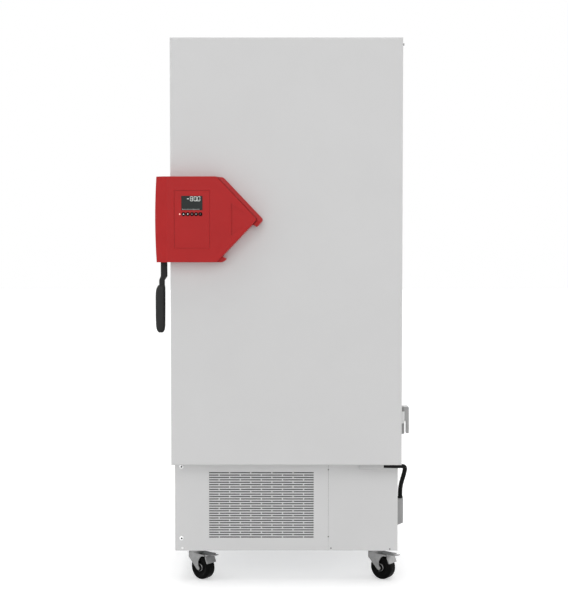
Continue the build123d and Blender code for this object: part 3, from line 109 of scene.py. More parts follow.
def bands(tree, vector, scale):
    """Even bands across the X axis."""
    made = tree.nodes.new("ShaderNodeTexWave")
    made.bands_direction = "X"
    made.wave_profile = "SIN"
    made.inputs["Scale"].default_value = scale
    made.inputs["Distortion"].default_value = 0.0
    tree.links.new(vector, made.inputs["Vector"])
    return made.outputs["Fac"]


def spread(tree, value, low, high, start=0.3, end=0.7):
    """Maps a pattern's middle range to other limits."""
    made = tree.nodes.new("ShaderNodeMapRange")
    made.inputs["From Min"].default_value = start
    made.inputs["From Max"].default_value = end
    made.inputs["To Min"].default_value = low
    made.inputs["To Max"].default_value = high
    tree.links.new(value, made.inputs["Value"])
    return made.outputs["Result"]


def tint(tree, value, first, second, start=0.3, end=0.7):
    """Colour ramp between two colours."""
    made = tree.nodes.new("ShaderNodeValToRGB")
    made.color_ramp.elements[0].position = start
    made.color_ramp.elements[0].color = (*first, 1)
    made.color_ramp.elements[1].position = end
    made.color_ramp.elements[1].color = (*second, 1)
    tree.links.new(value, made.inputs["Fac"])
    return made.outputs["Color"]


def relief(tree, shader, height, depth):
    """Bump from a pattern, with its depth in metres."""
    made = tree.nodes.new("ShaderNodeBump")
    made.inputs["Distance"].default_value = depth
    made.inputs["Strength"].default_value = 1.0
    tree.links.new(height, made.inputs["Height"])
    tree.links.new(made.outputs["Normal"], shader.inputs["Normal"])


def shade(colour, factor):
    """The same colour made lighter or darker."""
    return tuple(min(1.0, channel * factor) for channel in colour)


def link_colour(tree, shader, value, dark, light, start=0.3, end=0.7):
    """Base colour between two colours, steered by a pattern."""
    tree.links.new(tint(tree, value, dark, light, start, end), shader.inputs["Base Color"])


def link_roughness(tree, shader, value, low, high, start=0.3, end=0.7):
    """Roughness between two limits, steered by a pattern."""
    tree.links.new(spread(tree, value, low, high, start, end), shader.inputs["Roughness"])


# Kinds of material, with scales per metre and depths in metres


def grained(name, colour, vary, roughness, grain, depth, gloss=0.35, cloud=4.0):
    """Painted, moulded or cast surface: slight cloudiness, uneven gloss and a fine grain."""
    patch_scale = 60
    patch_swing = 0.05
    made, tree, shader = start_material(name)
    shader.inputs["Specular IOR Level"].default_value = gloss
    vector = coordinates(tree)
    broad = noise(tree, vector, cloud, detail=4)
    link_colour(tree, shader, broad, shade(colour, 1 - vary), shade(colour, 1 + vary))
    patches = noise(tree, vector, patch_scale)
    link_roughness(tree, shader, patches, roughness - patch_swing, roughness + patch_swing)
    relief(tree, shader, noise(tree, vector, grain, detail=2), depth)
    return made


def brushed(name, colour, stretch, roughness):
    """Brushed metal with fine scratches along one axis."""
    scratch_scale = 40
    scratch_depth = 0.00003
    made, tree, shader = start_material(name, metallic=1.0)
    vector = coordinates(tree, stretch)
    lines = noise(tree, vector, scratch_scale, detail=6, roughness=0.7)
    link_colour(tree, shader, lines, shade(colour, 0.86), shade(colour, 1.08))
    link_roughness(tree, shader, lines, roughness - 0.07, roughness + 0.09)
    relief(tree, shader, lines, scratch_depth)
    return made


def spangled(name, colour, size):
    """Galvanised sheet with its crystal spangle."""
    grain_scale = 500
    grain_depth = 0.00002
    made, tree, shader = start_material(name, metallic=1.0)
    vector = coordinates(tree)
    crystal = cells(tree, vector, 1 / size, output="Color")
    split = tree.nodes.new("ShaderNodeSeparateColor")
    tree.links.new(crystal, split.inputs["Color"])
    value = split.outputs["Red"]
    link_colour(tree, shader, value, shade(colour, 0.8), shade(colour, 1.1), start=0, end=1)
    link_roughness(tree, shader, value, 0.32, 0.5, start=0, end=1)
    relief(tree, shader, noise(tree, vector, grain_scale), grain_depth)
    return made


def plated(name, colour, roughness):
    """Plated or drawn metal with cloudy gloss and tiny pits."""
    cloud_scale = 45
    pit_scale = 900
    pit_depth = 0.00004
    made, tree, shader = start_material(name, metallic=1.0)
    vector = coordinates(tree)
    cloud = noise(tree, vector, cloud_scale, detail=5, roughness=0.6)
    link_colour(tree, shader, cloud, shade(colour, 0.82), shade(colour, 1.1))
    link_roughness(tree, shader, cloud, roughness - 0.06, roughness + 0.1)
    relief(tree, shader, noise(tree, vector, pit_scale, detail=4), pit_depth)
    return made


def foamed(name, colour):
    """Rigid foam with open cells at its skin, with painted shade in the cells' hollows."""
    pore_scale = 600
    pore_depth = 0.0004
    made, tree, shader = start_material(name)
    pores_and_shade = cells(tree, coordinates(tree), pore_scale)
    # painted shade: darker towards the middle of each cell, where the bump dips
    link_colour(tree, shader, pores_and_shade, shade(colour, 0.8), colour, start=0.05, end=0.6)
    shader.inputs["Roughness"].default_value = 0.9
    relief(tree, shader, pores_and_shade, pore_depth)
    return made


def matted(name, colour):
    """Coarse filter mat of tangled fibres."""
    fibre_stretch = (1, 1, 0.35)
    fibre_scale = 700
    fibre_depth = 0.0012
    made, tree, shader = start_material(name)
    vector = coordinates(tree, fibre_stretch)
    fibre = noise(tree, vector, fibre_scale, detail=8, roughness=0.75)
    link_colour(tree, shader, fibre, shade(colour, 0.3), shade(colour, 1.6))
    shader.inputs["Roughness"].default_value = 0.95
    relief(tree, shader, fibre, fibre_depth)
    return made


def finned(name, colour):
    """Stack of thin fins seen edge on, with painted shade in the gaps between them."""
    fin_scale = 80
    fin_depth = 0.001
    patch_scale = 200
    made, tree, shader = start_material(name, metallic=1.0)
    vector = coordinates(tree)
    fins_and_gap_shade = bands(tree, vector, fin_scale)
    # painted shade: dark bands for the gaps between the fins
    link_colour(tree, shader, fins_and_gap_shade, shade(colour, 0.15), colour, start=0.2, end=0.8)
    link_roughness(tree, shader, noise(tree, vector, patch_scale), 0.35, 0.55)
    relief(tree, shader, fins_and_gap_shade, fin_depth)
    return made


def window(name, colour):
    """Dark display window with slightly uneven tone and gloss."""
    cloud_scale = 28
    grain_scale = 900
    made, tree, shader = start_material(name)
    vector = coordinates(tree)
    cloud = noise(tree, vector, cloud_scale, detail=2)
    link_colour(tree, shader, cloud, shade(colour, 0.75), shade(colour, 1.3))
    link_roughness(tree, shader, noise(tree, vector, grain_scale), 0.16, 0.24)
    shader.inputs["Specular IOR Level"].default_value = 0.2
    return made


def glowing(name, colour, strength):
    """Lit segment or lens with a slightly uneven glow."""
    patch_scale = 300
    made, tree, shader = start_material(name)
    patchy = noise(tree, coordinates(tree), patch_scale, detail=2)
    shaded = tint(tree, patchy, shade(colour, 0.9), colour)
    tree.links.new(shaded, shader.inputs["Base Color"])
    tree.links.new(shaded, shader.inputs["Emission Color"])
    shader.inputs["Emission Strength"].default_value = strength
    shader.inputs["Roughness"].default_value = 0.3
    return made


# Materials, where the grained ones give colour, variation, roughness, grain and the grain's depth

cabinet_paint = grained("cabinet_paint", cabinet_grey, 0.012, 0.44, 1500, 0.00004)
# painted light: a lighter copy of the cabinet's paint for the base's panels, offsetting their shade under
# the door
base_paint_lightened = grained("base_paint_lightened", base_grey_lightened, 0.012, 0.44, 1500, 0.00004)
# painted shade: the cable cover gets a darker grey than the paint round it, standing in for the thin shadow
# line under the door
cover_shade_paint = grained("cover_shade_paint", (0.50, 0.50, 0.50), 0.03, 0.46, 1500, 0.00005, cloud=20)
liner_paint = grained("pan_paint", (0.62, 0.62, 0.62), 0.015, 0.40, 1200, 0.00004)
pod_plastic = grained("pod_plastic", pod_red, 0.03, 0.36, 2400, 0.00005, gloss=0.2, cloud=9)
grip_plastic = grained("grip_plastic", grip_black, 0.12, 0.48, 1800, 0.00012, gloss=0.2, cloud=40)
lever_paint = grained("lever_paint", lever_black, 0.1, 0.36, 1500, 0.00004, gloss=0.2, cloud=30)
black_plastic = grained("black_plastic", black, 0.12, 0.5, 1600, 0.00008, gloss=0.25, cloud=30)
key_plastic = grained("key_plastic", key_black, 0.15, 0.4, 2600, 0.00003, gloss=0.06, cloud=90)
hinge_paint = grained("hinge_paint", (0.40, 0.40, 0.40), 0.05, 0.42, 1300, 0.00007, cloud=30)
# painted shade: the door's half of the hinges gets a darker copy of the hinge paint, for the shade on its
# knuckles
knuckle_shade_paint = grained("knuckle_shade_paint", (0.25, 0.25, 0.25), 0.06, 0.40, 1300, 0.00007, cloud=30)
sleeve_plastic = grained("sleeve_plastic", (0.66, 0.66, 0.66), 0.02, 0.42, 1500, 0.00005, cloud=20)
seam_shadow = grained("seam_shadow", (0.10, 0.004, 0.004), 0.1, 0.6, 2400, 0.00005, gloss=0.1, cloud=30)
box_plastic = grained("box_plastic", (0.32, 0.32, 0.32), 0.04, 0.5, 1700, 0.00008, cloud=30)
white_plastic = grained("white_plastic", (0.72, 0.72, 0.70), 0.02, 0.42, 1500, 0.00005, cloud=10)
plug_plastic = grained("plug_plastic", (0.92, 0.92, 0.92), 0.02, 0.42, 1500, 0.00005, cloud=10)
inner_plastic = grained("inner_plastic", (0.70, 0.71, 0.71), 0.02, 0.45, 800, 0.0001, cloud=6)
compressor_paint = grained("compressor_paint", (0.015, 0.015, 0.016), 0.2, 0.25, 700, 0.00008, cloud=25)
black_rubber = grained("black_rubber", black, 0.2, 0.62, 2200, 0.0001, gloss=0.15, cloud=60)
cable_rubber = grained("cable_rubber", deep_black, 0.2, 0.55, 2200, 0.0001, gloss=0.1, cloud=60)
tread_rubber = grained("tread_rubber", deep_black, 0.3, 0.42, 1200, 0.0001, gloss=0.03, cloud=45)
seal_rubber = grained("seal_rubber", (0.17, 0.17, 0.175), 0.06, 0.6, 1800, 0.0001, cloud=20)
stainless = brushed("stainless", (0.56, 0.56, 0.57), (1, 40, 40), 0.3)
stainless_walls = brushed("stainless_walls", (0.56, 0.56, 0.57), (30, 30, 1), 0.32)
striker_steel = brushed("striker_steel", (0.5, 0.5, 0.51), (1, 20, 20), 0.3)
galvanised = spangled("galvanised", (0.5, 0.51, 0.52), 0.012)
zinc = plated("zinc", (0.26, 0.26, 0.26), 0.42)
screw_zinc = plated("screw_zinc", (0.90, 0.90, 0.90), 0.3)
copper = plated("copper", (0.70, 0.34, 0.20), 0.3)
foam = foamed("foam", (0.78, 0.70, 0.46))
filter_mat = matted("filter_mat", (0.12, 0.12, 0.122))
fins = finned("fins", (0.58, 0.59, 0.6))
display_window = window("display_window", (0.006, 0.010, 0.009))
digit_white = glowing("digit_white", (0.80, 0.83, 0.79), 0.9)
scale_grey = glowing("scale_grey", (0.34, 0.36, 0.35), 0.4)
print_dim = grained("print_dim", (0.46, 0.32, 0.32), 0.05, 0.5, 2500, 0.00002, cloud=60)
print_white = grained("print_white", (0.8, 0.8, 0.8), 0.03, 0.5, 2500, 0.00002, cloud=60)
light_lens = glowing("light_lens", (0.95, 0.42, 0.36), 0.5)

finish = {
    "side_panel_left": cabinet_paint,
    "side_panel_right": cabinet_paint,
    "roof_panel": cabinet_paint,
    "rear_panel": cabinet_paint,
    "front_frame": cabinet_paint,
    "front_grille_panel": base_paint_lightened,
    "front_service_panel": base_paint_lightened,
    "rear_grille_panel": cabinet_paint,
    "door_skin": cabinet_paint,
    "door_inner_pan": liner_paint,
    "cable_cover": cover_shade_paint,
    "body_insulation": foam,
    "door_insulation": foam,
    "inner_door_upper": inner_plastic,
    "inner_door_lower": inner_plastic,
    "chamber_liner": stainless_walls,
    "shelves": stainless,
    "chamber_fittings": stainless_walls,
    "base_frame": galvanised,
    "electrical_box": galvanised,
    "caster_heads": zinc,
    "cabinet_hinge_leaves": hinge_paint,
    "door_hinge_leaves": knuckle_shade_paint,
    "latch_striker": striker_steel,
    "air_filter": filter_mat,
    "condenser": fins,
    "fan_shroud": black_plastic,
    "condenser_fan": black_plastic,
    "power_inlet": black_plastic,
    "main_switch": black_plastic,
    "compressors": compressor_paint,
    "compressor_mounts": black_rubber,
    "refrigerant_lines": copper,
    "access_port": white_plastic,
    "cable_box": box_plastic,
    "pod_housing": pod_plastic,
    "pod_cover": pod_plastic,
    "control_panel": pod_plastic,
    "display": display_window,
    "status_light": light_lens,
    "handle_lever": lever_paint,
    "handle_grip": grip_plastic,
}
for number in range(1, 6):
    finish[f"key_{number}"] = key_plastic
for corner in ("front_left", "front_right", "rear_left", "rear_right"):
    finish[f"caster_fork_{corner}"] = zinc
    finish[f"caster_wheel_{corner}"] = tread_rubber
for corner in ("front_left", "front_right"):
    finish[f"caster_brake_{corner}"] = zinc
for node_name, node_material in finish.items():
    node = nodes[node_name]
    node.data.materials.clear()
    node.data.materials.append(node_material)


# Piece helpers

to_front = (0, -1, 0)
to_rear = (0, 1, 0)
to_right = (1, 0, 0)
to_top = (0, 0, 1)
sharp_angle = math.radians(35)


def new_piece(name, mesh, material, body):
    """Object from a mesh, with its material, riding on a body."""
    piece = bpy.data.objects.new(name, mesh)
    scene.collection.objects.link(piece)
    mesh.materials.append(material)
    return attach(piece, body)


def mesh_from(name, made, smooth=True):
    """Mesh from a bmesh, with its normals outwards."""
    bmesh.ops.recalc_face_normals(made, faces=made.faces)
    for face in made.faces:
        face.smooth = smooth
    mesh = bpy.data.meshes.new(name)
    made.to_mesh(mesh)
    made.free()
    return mesh


def rounded(piece, width):
    """Small round on every sharp edge of a piece."""
    bevel = piece.modifiers.new("round", "BEVEL")
    bevel.width = width
    bevel.segments = 2
    bevel.limit_method = "ANGLE"
    bevel.angle_limit = sharp_angle


def joined_rings(made, loops):
    """Faces between rings of vertices that all have the same count."""
    for low, high in zip(loops, loops[1:]):
        count = len(low)
        for step in range(count):
            after = (step + 1) % count
            made.faces.new((low[step], low[after], high[after], high[step]))


def closed_rings(made, loops):
    """Faces between rings, and over the first and the last one."""
    joined_rings(made, loops)
    made.faces.new(list(reversed(loops[0])))
    made.faces.new(loops[-1])


def ring_loops(made, rings, sides):
    """Rings of vertices round the Z axis, each with its radius and height."""
    loops = []
    for radius, height in rings:
        loop = []
        for step in range(sides):
            turn = 2 * math.pi * step / sides
            loop.append(made.verts.new((radius * math.cos(turn), radius * math.sin(turn), height)))
        loops.append(loop)
    return loops


def lathe(rings, sides):
    """Bmesh of stacked rings, closed at both ends."""
    made = bmesh.new()
    closed_rings(made, ring_loops(made, rings, sides))
    return made


def hollow_lathe(rings, sides):
    """Ring-shaped bmesh: the rings run round a closed section."""
    made = bmesh.new()
    loops = ring_loops(made, rings, sides)
    joined_rings(made, [*loops, loops[0]])
    return made


def facing(normal):
    """Rotation that turns +Z to a direction."""
    return Vector(normal).to_track_quat("Z", "Y").to_matrix().to_4x4()


def front_prism(points, front, rear):
    """Bmesh of a flat outline in X and Z, between two depths."""
    made = bmesh.new()
    near = [made.verts.new((x, front, z)) for x, z in points]
    far = [made.verts.new((x, rear, z)) for x, z in points]
    joined_rings(made, [near, far])
    made.faces.new(near)
    made.faces.new(list(reversed(far)))
    return made


# Screws: shares of the radius and of the height along the head's profile, from its foot into the socket

screw_profile = [
    (1.0, 0.0),
    (1.0, 0.25),
    (0.86, 0.72),
    (0.62, 1.0),
    (0.45, 1.0),
    (0.40, 0.35),
]
screw_height_share = 0.55
screw_socket_share = 0.41
screw_sides = 24


def screw(name, place, normal, radius, metal=screw_zinc, socket_shade_or_own=black_plastic):
    """Button-head screw with a hexagon socket, standing on a surface of the cabinet."""
    height = radius * screw_height_share
    rings = [(radius * across, height * up) for across, up in screw_profile]
    made = lathe(rings, screw_sides)
    made.verts.ensure_lookup_table()
    socket_start = (len(rings) - 1) * screw_sides
    for vertex in made.verts[socket_start:]:
        turn = math.atan2(vertex.co.y, vertex.co.x) % (math.pi / 3) - math.pi / 6
        factor = math.cos(math.pi / 6) / math.cos(turn)
        vertex.co.x *= factor
        vertex.co.y *= factor
    mesh = mesh_from(name, made, False)
    # painted shade: the socket's faces take the second material, black for the shade in the recess, or the
    # plug's own plastic
    for polygon in mesh.polygons:
        in_socket = polygon.center.xy.length < radius * screw_socket_share
        polygon.material_index = 1 if in_socket else 0
    mesh.transform(Matrix.Translation(place) @ facing(normal))
    piece = new_piece(name, mesh, metal, "cabinet")
    mesh.materials.append(socket_shade_or_own)


# Cable from the door to the base

cable_radius = 0.0081
cable_thin = 0.0055
cable_steps = 10
cable_sides = 24
cable_route = [
    (0.346, -0.358, 0.440),
    (0.402, -0.327, 0.4345),
    (0.436, -0.3095, 0.4325),
    (0.4300, -0.3095, 0.403),
    (0.4230, -0.304, 0.378),
    (0.421, -0.276, 0.350),
    (0.421, -0.263, 0.328),
    (0.421, -0.263, 0.3055),
]
collar_rings = [
    (0.0078, 0.0),
    (0.0102, 0.0),
    (0.0102, 0.0030),
    (0.0096, 0.0040),
    (0.0096, 0.0052),
    (0.0089, 0.0060),
    (0.0078, 0.0060),
]
collar_sides = 32


def smooth_line(route):
    """Points along the smooth curve that a route's points steer."""
    data = bpy.data.curves.new("route", "CURVE")
    data.dimensions = "3D"
    data.resolution_u = cable_steps
    spline = data.splines.new("NURBS")
    spline.points.add(len(route) - 1)
    for point, place in zip(spline.points, route):
        point.co = (*place, 1)
    spline.order_u = 3
    spline.use_endpoint_u = True
    curve = bpy.data.objects.new("route", data)
    mesh = bpy.data.meshes.new_from_object(curve)
    line = [vertex.co.copy() for vertex in mesh.vertices]
    bpy.data.objects.remove(curve)
    bpy.data.curves.remove(data)
    bpy.data.meshes.remove(mesh)
    return line


def tube_along(line, radii, sides):
    """Round bmesh tube along points, with one radius for each point."""
    made = bmesh.new()
    loops = []
    side = Vector((0, 0, 1))
    for index, place in enumerate(line):
        before = line[max(index - 1, 0)]
        after = line[min(index + 1, len(line) - 1)]
        along = (after - before).normalized()
        side = (side - along * side.dot(along)).normalized()
        up = along.cross(side)
        loop = []
        for step in range(sides):
            turn = 2 * math.pi * step / sides
            spoke = side * math.cos(turn) + up * math.sin(turn)
            loop.append(made.verts.new(place + spoke * radii[index]))
        loops.append(loop)
    closed_rings(made, loops)
    return made


def cable_radii(line):
    """Radius at each point: thin at the door, growing to the full one at the elbow."""
    start_x = cable_route[0][0]
    elbow_x = cable_route[2][0]
    elbow_low = cable_route[3][2]
    radii = []
    for place in line:
        radius = cable_radius
        if place.z > elbow_low:
            share = (place.x - start_x) / (elbow_x - start_x)
            radius = cable_thin + (cable_radius - cable_thin) * min(1, share)
        radii.append(radius)
    return radii


def make_cable():
    """Round cable from the door to its box, and the collar on its box."""
    line = smooth_line(cable_route)
    mesh = mesh_from("door_cable", tube_along(line, cable_radii(line), cable_sides))
    mesh.materials.append(cable_rubber)
    cable = bpy.data.objects.new("door_cable", mesh)
    scene.collection.objects.link(cable)
    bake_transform(cable)
    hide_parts("door_cable_upper", "door_cable_lower")
    mesh = mesh_from("cable_collar", hollow_lathe(collar_rings, collar_sides))
    mesh.transform(Matrix.Translation(cable_route[-1]))
    collar = new_piece("cable_collar", mesh, black_rubber, "cabinet")


# Door seal

seal_half_width = 0.385
seal_low = 0.479
seal_high = 1.941
seal_root = -0.318
seal_round = 0.0006
seal_corners = ((-1, -1), (1, -1), (1, 1), (-1, 1))
seal_section = [
    (0.0000, 0.0000),
    (0.0220, 0.0000),
    (0.0220, 0.0022),
    (0.0196, 0.0030),
    (0.0188, 0.0046),
    (0.0206, 0.0060),
    (0.0210, 0.0078),
    (0.0186, 0.0090),
    (0.0182, 0.0100),
    (0.0200, 0.0112),
    (0.0196, 0.0138),
    (0.0176, 0.0147),
    (0.0060, 0.0147),
    (0.0036, 0.0138),
    (0.0030, 0.0112),
    (0.0048, 0.0100),
    (0.0044, 0.0090),
    (0.0020, 0.0078),
    (0.0024, 0.0060),
    (0.0042, 0.0046),
    (0.0034, 0.0030),
    (0.0000, 0.0022),
]


def make_seal():
    """Bellows seal round the door pan: a foot, two folds and a flat magnet strip, mitred at the corners."""
    made = bmesh.new()
    loops = []
    for x_side, z_side in seal_corners:
        loop = []
        for inset, height in seal_section:
            x = x_side * (seal_half_width - inset)
            z = seal_low + inset if z_side < 0 else seal_high - inset
            loop.append(made.verts.new((x, seal_root + height, z)))
        loops.append(loop)
    joined_rings(made, [*loops, loops[0]])
    seal = new_piece("door_seal", mesh_from("door_seal", made, False), seal_rubber, "door")
    rounded(seal, seal_round)
    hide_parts("door_gasket")


# Lever grip: height, left, right and half depth along it

grip_middle = -0.363
grip_sides = 28
grip_fullness = 0.72
grip_stations = [
    (1.0945, -0.4590, -0.4355, 0.0090),
    (1.0915, -0.4610, -0.4347, 0.0104),
    (1.0855, -0.4642, -0.4339, 0.0118),
    (1.0755, -0.4678, -0.4335, 0.0128),
    (1.0555, -0.4690, -0.4334, 0.0130),
    (1.0155, -0.4690, -0.4336, 0.0128),
    (0.9755, -0.4686, -0.4339, 0.0126),
    (0.9505, -0.4678, -0.4343, 0.0124),
    (0.9375, -0.4658, -0.4355, 0.0116),
    (0.9295, -0.4624, -0.4385, 0.0100),
    (0.9255, -0.4590, -0.4425, 0.0072),
    (0.9244, -0.4570, -0.4450, 0.0040),
]


def fuller(value):
    """Sine or cosine pushed outwards, for sides fuller than an ellipse."""
    return math.copysign(abs(value) ** grip_fullness, value)


def make_grip():
    """Moulded grip with full rounded sides."""
    made = bmesh.new()
    loops = []
    for z, left, right, half_depth in grip_stations:
        middle = (left + right) / 2
        half_width = (right - left) / 2
        loop = []
        for step in range(grip_sides):
            turn = 2 * math.pi * step / grip_sides
            x = middle + half_width * fuller(math.cos(turn))
            y = grip_middle + half_depth * fuller(math.sin(turn))
            loop.append(made.verts.new((x, y, z)))
        loops.append(loop)
    closed_rings(made, loops)
    grip = new_piece("lever_grip", mesh_from("lever_grip", made), grip_plastic, "handle")
    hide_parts("handle_grip")


# Keys, with the crown of a cap as shares of its radius and depths under its face

key_front = -0.4684
key_rear = -0.4625
key_radius = 0.0056
key_height = 1.3437
key_first = -0.358
key_pitch = 0.0146
key_sides = 40
key_crown = [
    (1.0, 0.0009),
    (0.965, 0.0004),
    (0.9, 0.0001),
    (0.8, 0.0),
    (0.4, 0.0),
]
icon_front = -0.46848
icon_root = 0.0001
dim_icons = (2, 4)
chevron = [
    (-0.0026, 0.0016),
    (0.0, -0.0022),
    (0.0026, 0.0016),
    (0.0014, 0.0016),
    (0.0, -0.0004),
    (-0.0014, 0.0016),
]
key_icons = [
    [(-0.0028, -0.0020), (0.0028, -0.0020), (0.0, 0.0030)],
    [(-0.0028, 0.0020), (0.0, -0.0030), (0.0028, 0.0020)],
    [(-0.0028, -0.0009), (0.0028, -0.0009), (0.0028, 0.0009), (-0.0028, 0.0009)],
    chevron,
    [(-0.0016, -0.0024), (-0.0006, -0.0024), (0.0016, 0.0024), (0.0006, 0.0024)],
]


def make_keys():
    """Round keys with a softened rim and a printed sign."""
    depth = key_rear - key_front
    rings = [(key_radius, 0.0)]
    for share, below in key_crown:
        rings.append((key_radius * share, depth - below))
    for index, icon in enumerate(key_icons):
        name = f"key_{index + 1}"
        x = key_first + key_pitch * index
        mesh = mesh_from(name + "_cap", lathe(rings, key_sides))
        mesh.transform(Matrix.Translation((x, key_rear, key_height)) @ facing(to_front))
        cap = new_piece(name + "_cap", mesh, key_plastic, name)
        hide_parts(name)
        points = [(x + across, key_height + up) for across, up in icon]
        sign = front_prism(points, icon_front, key_front + icon_root)
        ink = print_dim if index in dim_icons else print_white
        sign = new_piece(name + "_sign", mesh_from(name + "_sign", sign, False), ink, name)


# Display, with places measured from its left and top edge

display_left = -0.3655
display_top = 1.4067
display_front = -0.467
mark_rise = 0.00006
digit_width = 0.0092
digit_tall = 0.0158
digit_stroke = 0.0009
minus_stroke = 0.0014
digit_slant = 0.02
digit_gap = 0.0004
digit_down = 0.0096
digit_places = (("-", 0.0230), ("8", 0.0350), ("0", 0.0480), ("0", 0.0605))
lit_segments = {"0": "abcdef", "8": "abcdefg", "-": "g"}
point_across = 0.0541
point_down = 0.0166
point_size = 0.0016
tick_count = 16
tick_group = 5
tick_first = 0.004
tick_pitch = 0.0038
tick_down = 0.0462
tick_width = 0.0014
tick_tall = 0.0042
tick_short = 0.0026


def display_mark(name, points, ink):
    """Flat lit mark on the display's face."""
    made = front_prism(points, display_front - mark_rise, display_front + mark_rise)
    piece = new_piece(name, mesh_from(name, made, False), ink, "door")


def segment_outline(start, end, middle, stroke):
    """Outline of a lit bar with pointed ends, from one corner of a digit to the next."""
    start = Vector(start)
    end = Vector(end)
    along = (end - start).normalized()
    half = stroke / 2
    side = Vector((-along.y, along.x)) * half
    gap = along * digit_gap
    tip = along * half
    flat = [
        start + gap,
        start + gap + tip + side,
        end - gap - tip + side,
        end - gap,
        end - gap - tip - side,
        start + gap + tip - side,
    ]
    return [(middle.x + point.x + digit_slant * point.y, middle.y + point.y) for point in flat]


def box_outline(across, down, width, tall):
    """Outline of an upright box on the display, given by its middle."""
    x = display_left + across
    z = display_top - down
    return [
        (x - width / 2, z - tall / 2),
        (x + width / 2, z - tall / 2),
        (x + width / 2, z + tall / 2),
        (x - width / 2, z + tall / 2),
    ]


def make_digits():
    """Temperature reading on the display."""
    half_width = (digit_width - digit_stroke) / 2
    half_tall = (digit_tall - digit_stroke) / 2
    corners = {
        "a": ((-half_width, half_tall), (half_width, half_tall)),
        "b": ((half_width, half_tall), (half_width, 0)),
        "c": ((half_width, 0), (half_width, -half_tall)),
        "d": ((-half_width, -half_tall), (half_width, -half_tall)),
        "e": ((-half_width, 0), (-half_width, -half_tall)),
        "f": ((-half_width, half_tall), (-half_width, 0)),
        "g": ((-half_width, 0), (half_width, 0)),
    }
    for index, (figure, across) in enumerate(digit_places):
        middle = Vector((display_left + across, display_top - digit_down))
        stroke = minus_stroke if figure == "-" else digit_stroke
        for letter in lit_segments[figure]:
            start, end = corners[letter]
            outline = segment_outline(start, end, middle, stroke)
            display_mark(f"digit_{index}_{letter}", outline, digit_white)
    display_mark("digit_point", box_outline(point_across, point_down, point_size, point_size), digit_white)


def make_scale():
    """Scale of ticks under the reading."""
    for tick in range(tick_count):
        tall = tick_tall if tick % tick_group == 0 else tick_short
        across = tick_first + tick_pitch * tick
        display_mark(f"scale_{tick}", box_outline(across, tick_down, tick_width, tall), scale_grey)


# Casters

caster_trail = 0.033
caster_turn = math.radians(-40)
axle_height = 0.0445
wheel_sides = 72
wheel_rings = [
    (0.0047, -0.0200),
    (0.0120, -0.0200),
    (0.0132, -0.0168),
    (0.0270, -0.0158),
    (0.0290, -0.0196),
    (0.0350, -0.0200),
    (0.0400, -0.0192),
    (0.0432, -0.0165),
    (0.0443, -0.0130),
    (0.0445, -0.0060),
    (0.0445, 0.0060),
    (0.0443, 0.0130),
    (0.0432, 0.0165),
    (0.0400, 0.0192),
    (0.0350, 0.0200),
    (0.0290, 0.0196),
    (0.0270, 0.0158),
    (0.0132, 0.0168),
    (0.0120, 0.0200),
    (0.0047, 0.0200),
]
hub_ring_sides = 40
hub_ring_rings = [
    (0.0118, 0.0168),
    (0.0138, 0.0168),
    (0.0138, 0.0178),
    (0.0128, 0.0196),
    (0.0118, 0.0199),
]
caster_places = {
    "front_left": (-0.335, -0.228),
    "front_right": (0.335, -0.228),
    "rear_left": (-0.335, 0.388),
    "rear_right": (0.335, 0.388),
}


def onto_axle(mesh, corner, side=1):
    """Moves a mesh made round the Z axis onto a wheel's axle, facing one of the wheel's sides."""
    x, y = caster_places[corner]
    shift_x = caster_trail * math.cos(caster_turn)
    shift_y = caster_trail * math.sin(caster_turn)
    middle = (x + shift_x, y + shift_y, axle_height)
    across = Vector((-math.sin(caster_turn), math.cos(caster_turn), 0)) * side
    mesh.transform(Matrix.Translation(middle) @ facing(across))


def make_wheels():
    """Wheels with a rounded tread, a dished side and a raised hub."""
    for corner in caster_places:
        name = f"wheel_{corner}_tyre"
        mesh = mesh_from(name, hollow_lathe(wheel_rings, wheel_sides))
        onto_axle(mesh, corner)
        wheel = new_piece(name, mesh, tread_rubber, f"wheel_{corner}")
        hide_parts(f"caster_wheel_{corner}")


def make_hub_rings():
    """Plated bearing covers on both sides of each hub."""
    for corner in caster_places:
        for side_name, side in (("near", -1), ("far", 1)):
            name = f"hub_ring_{corner}_{side_name}"
            mesh = mesh_from(name, hollow_lathe(hub_ring_rings, hub_ring_sides))
            onto_axle(mesh, corner, side)
            ring = new_piece(name, mesh, zinc, f"wheel_{corner}")


# Places of the screws, the front ones with X, Z, radius, head, and socket: black painted shade or the
# plug's own plastic

panel_face = -0.303
panel_screws = [
    (-0.3840, 0.4285, 0.0080, screw_zinc, black_plastic),
    (-0.3840, 0.1644, 0.0080, screw_zinc, black_plastic),
    (-0.3815, 0.1278, 0.0042, plug_plastic, plug_plastic),
    (0.1637, 0.1273, 0.0028, zinc, black_plastic),
    (0.3800, 0.1240, 0.0028, zinc, black_plastic),
    (0.1540, 0.4170, 0.0026, zinc, black_plastic),
    (0.1540, 0.1700, 0.0026, zinc, black_plastic),
]
rear_face = 0.468
rear_screw_radius = 0.0045
rear_screw_side = 0.396
rear_screw_heights = (0.130, 0.285, 0.428, 0.455, 0.83, 1.205, 1.58, 1.945)
leaf_face = 0.413
leaf_screw_radius = 0.0055
leaf_screw_y = -0.244
leaf_screw_heights = (0.572, 0.628)
bracket_top = 1.964
bracket_screw_radius = 0.0050
bracket_screw_places = ((0.330, -0.275), (0.330, -0.245), (0.375, -0.262))


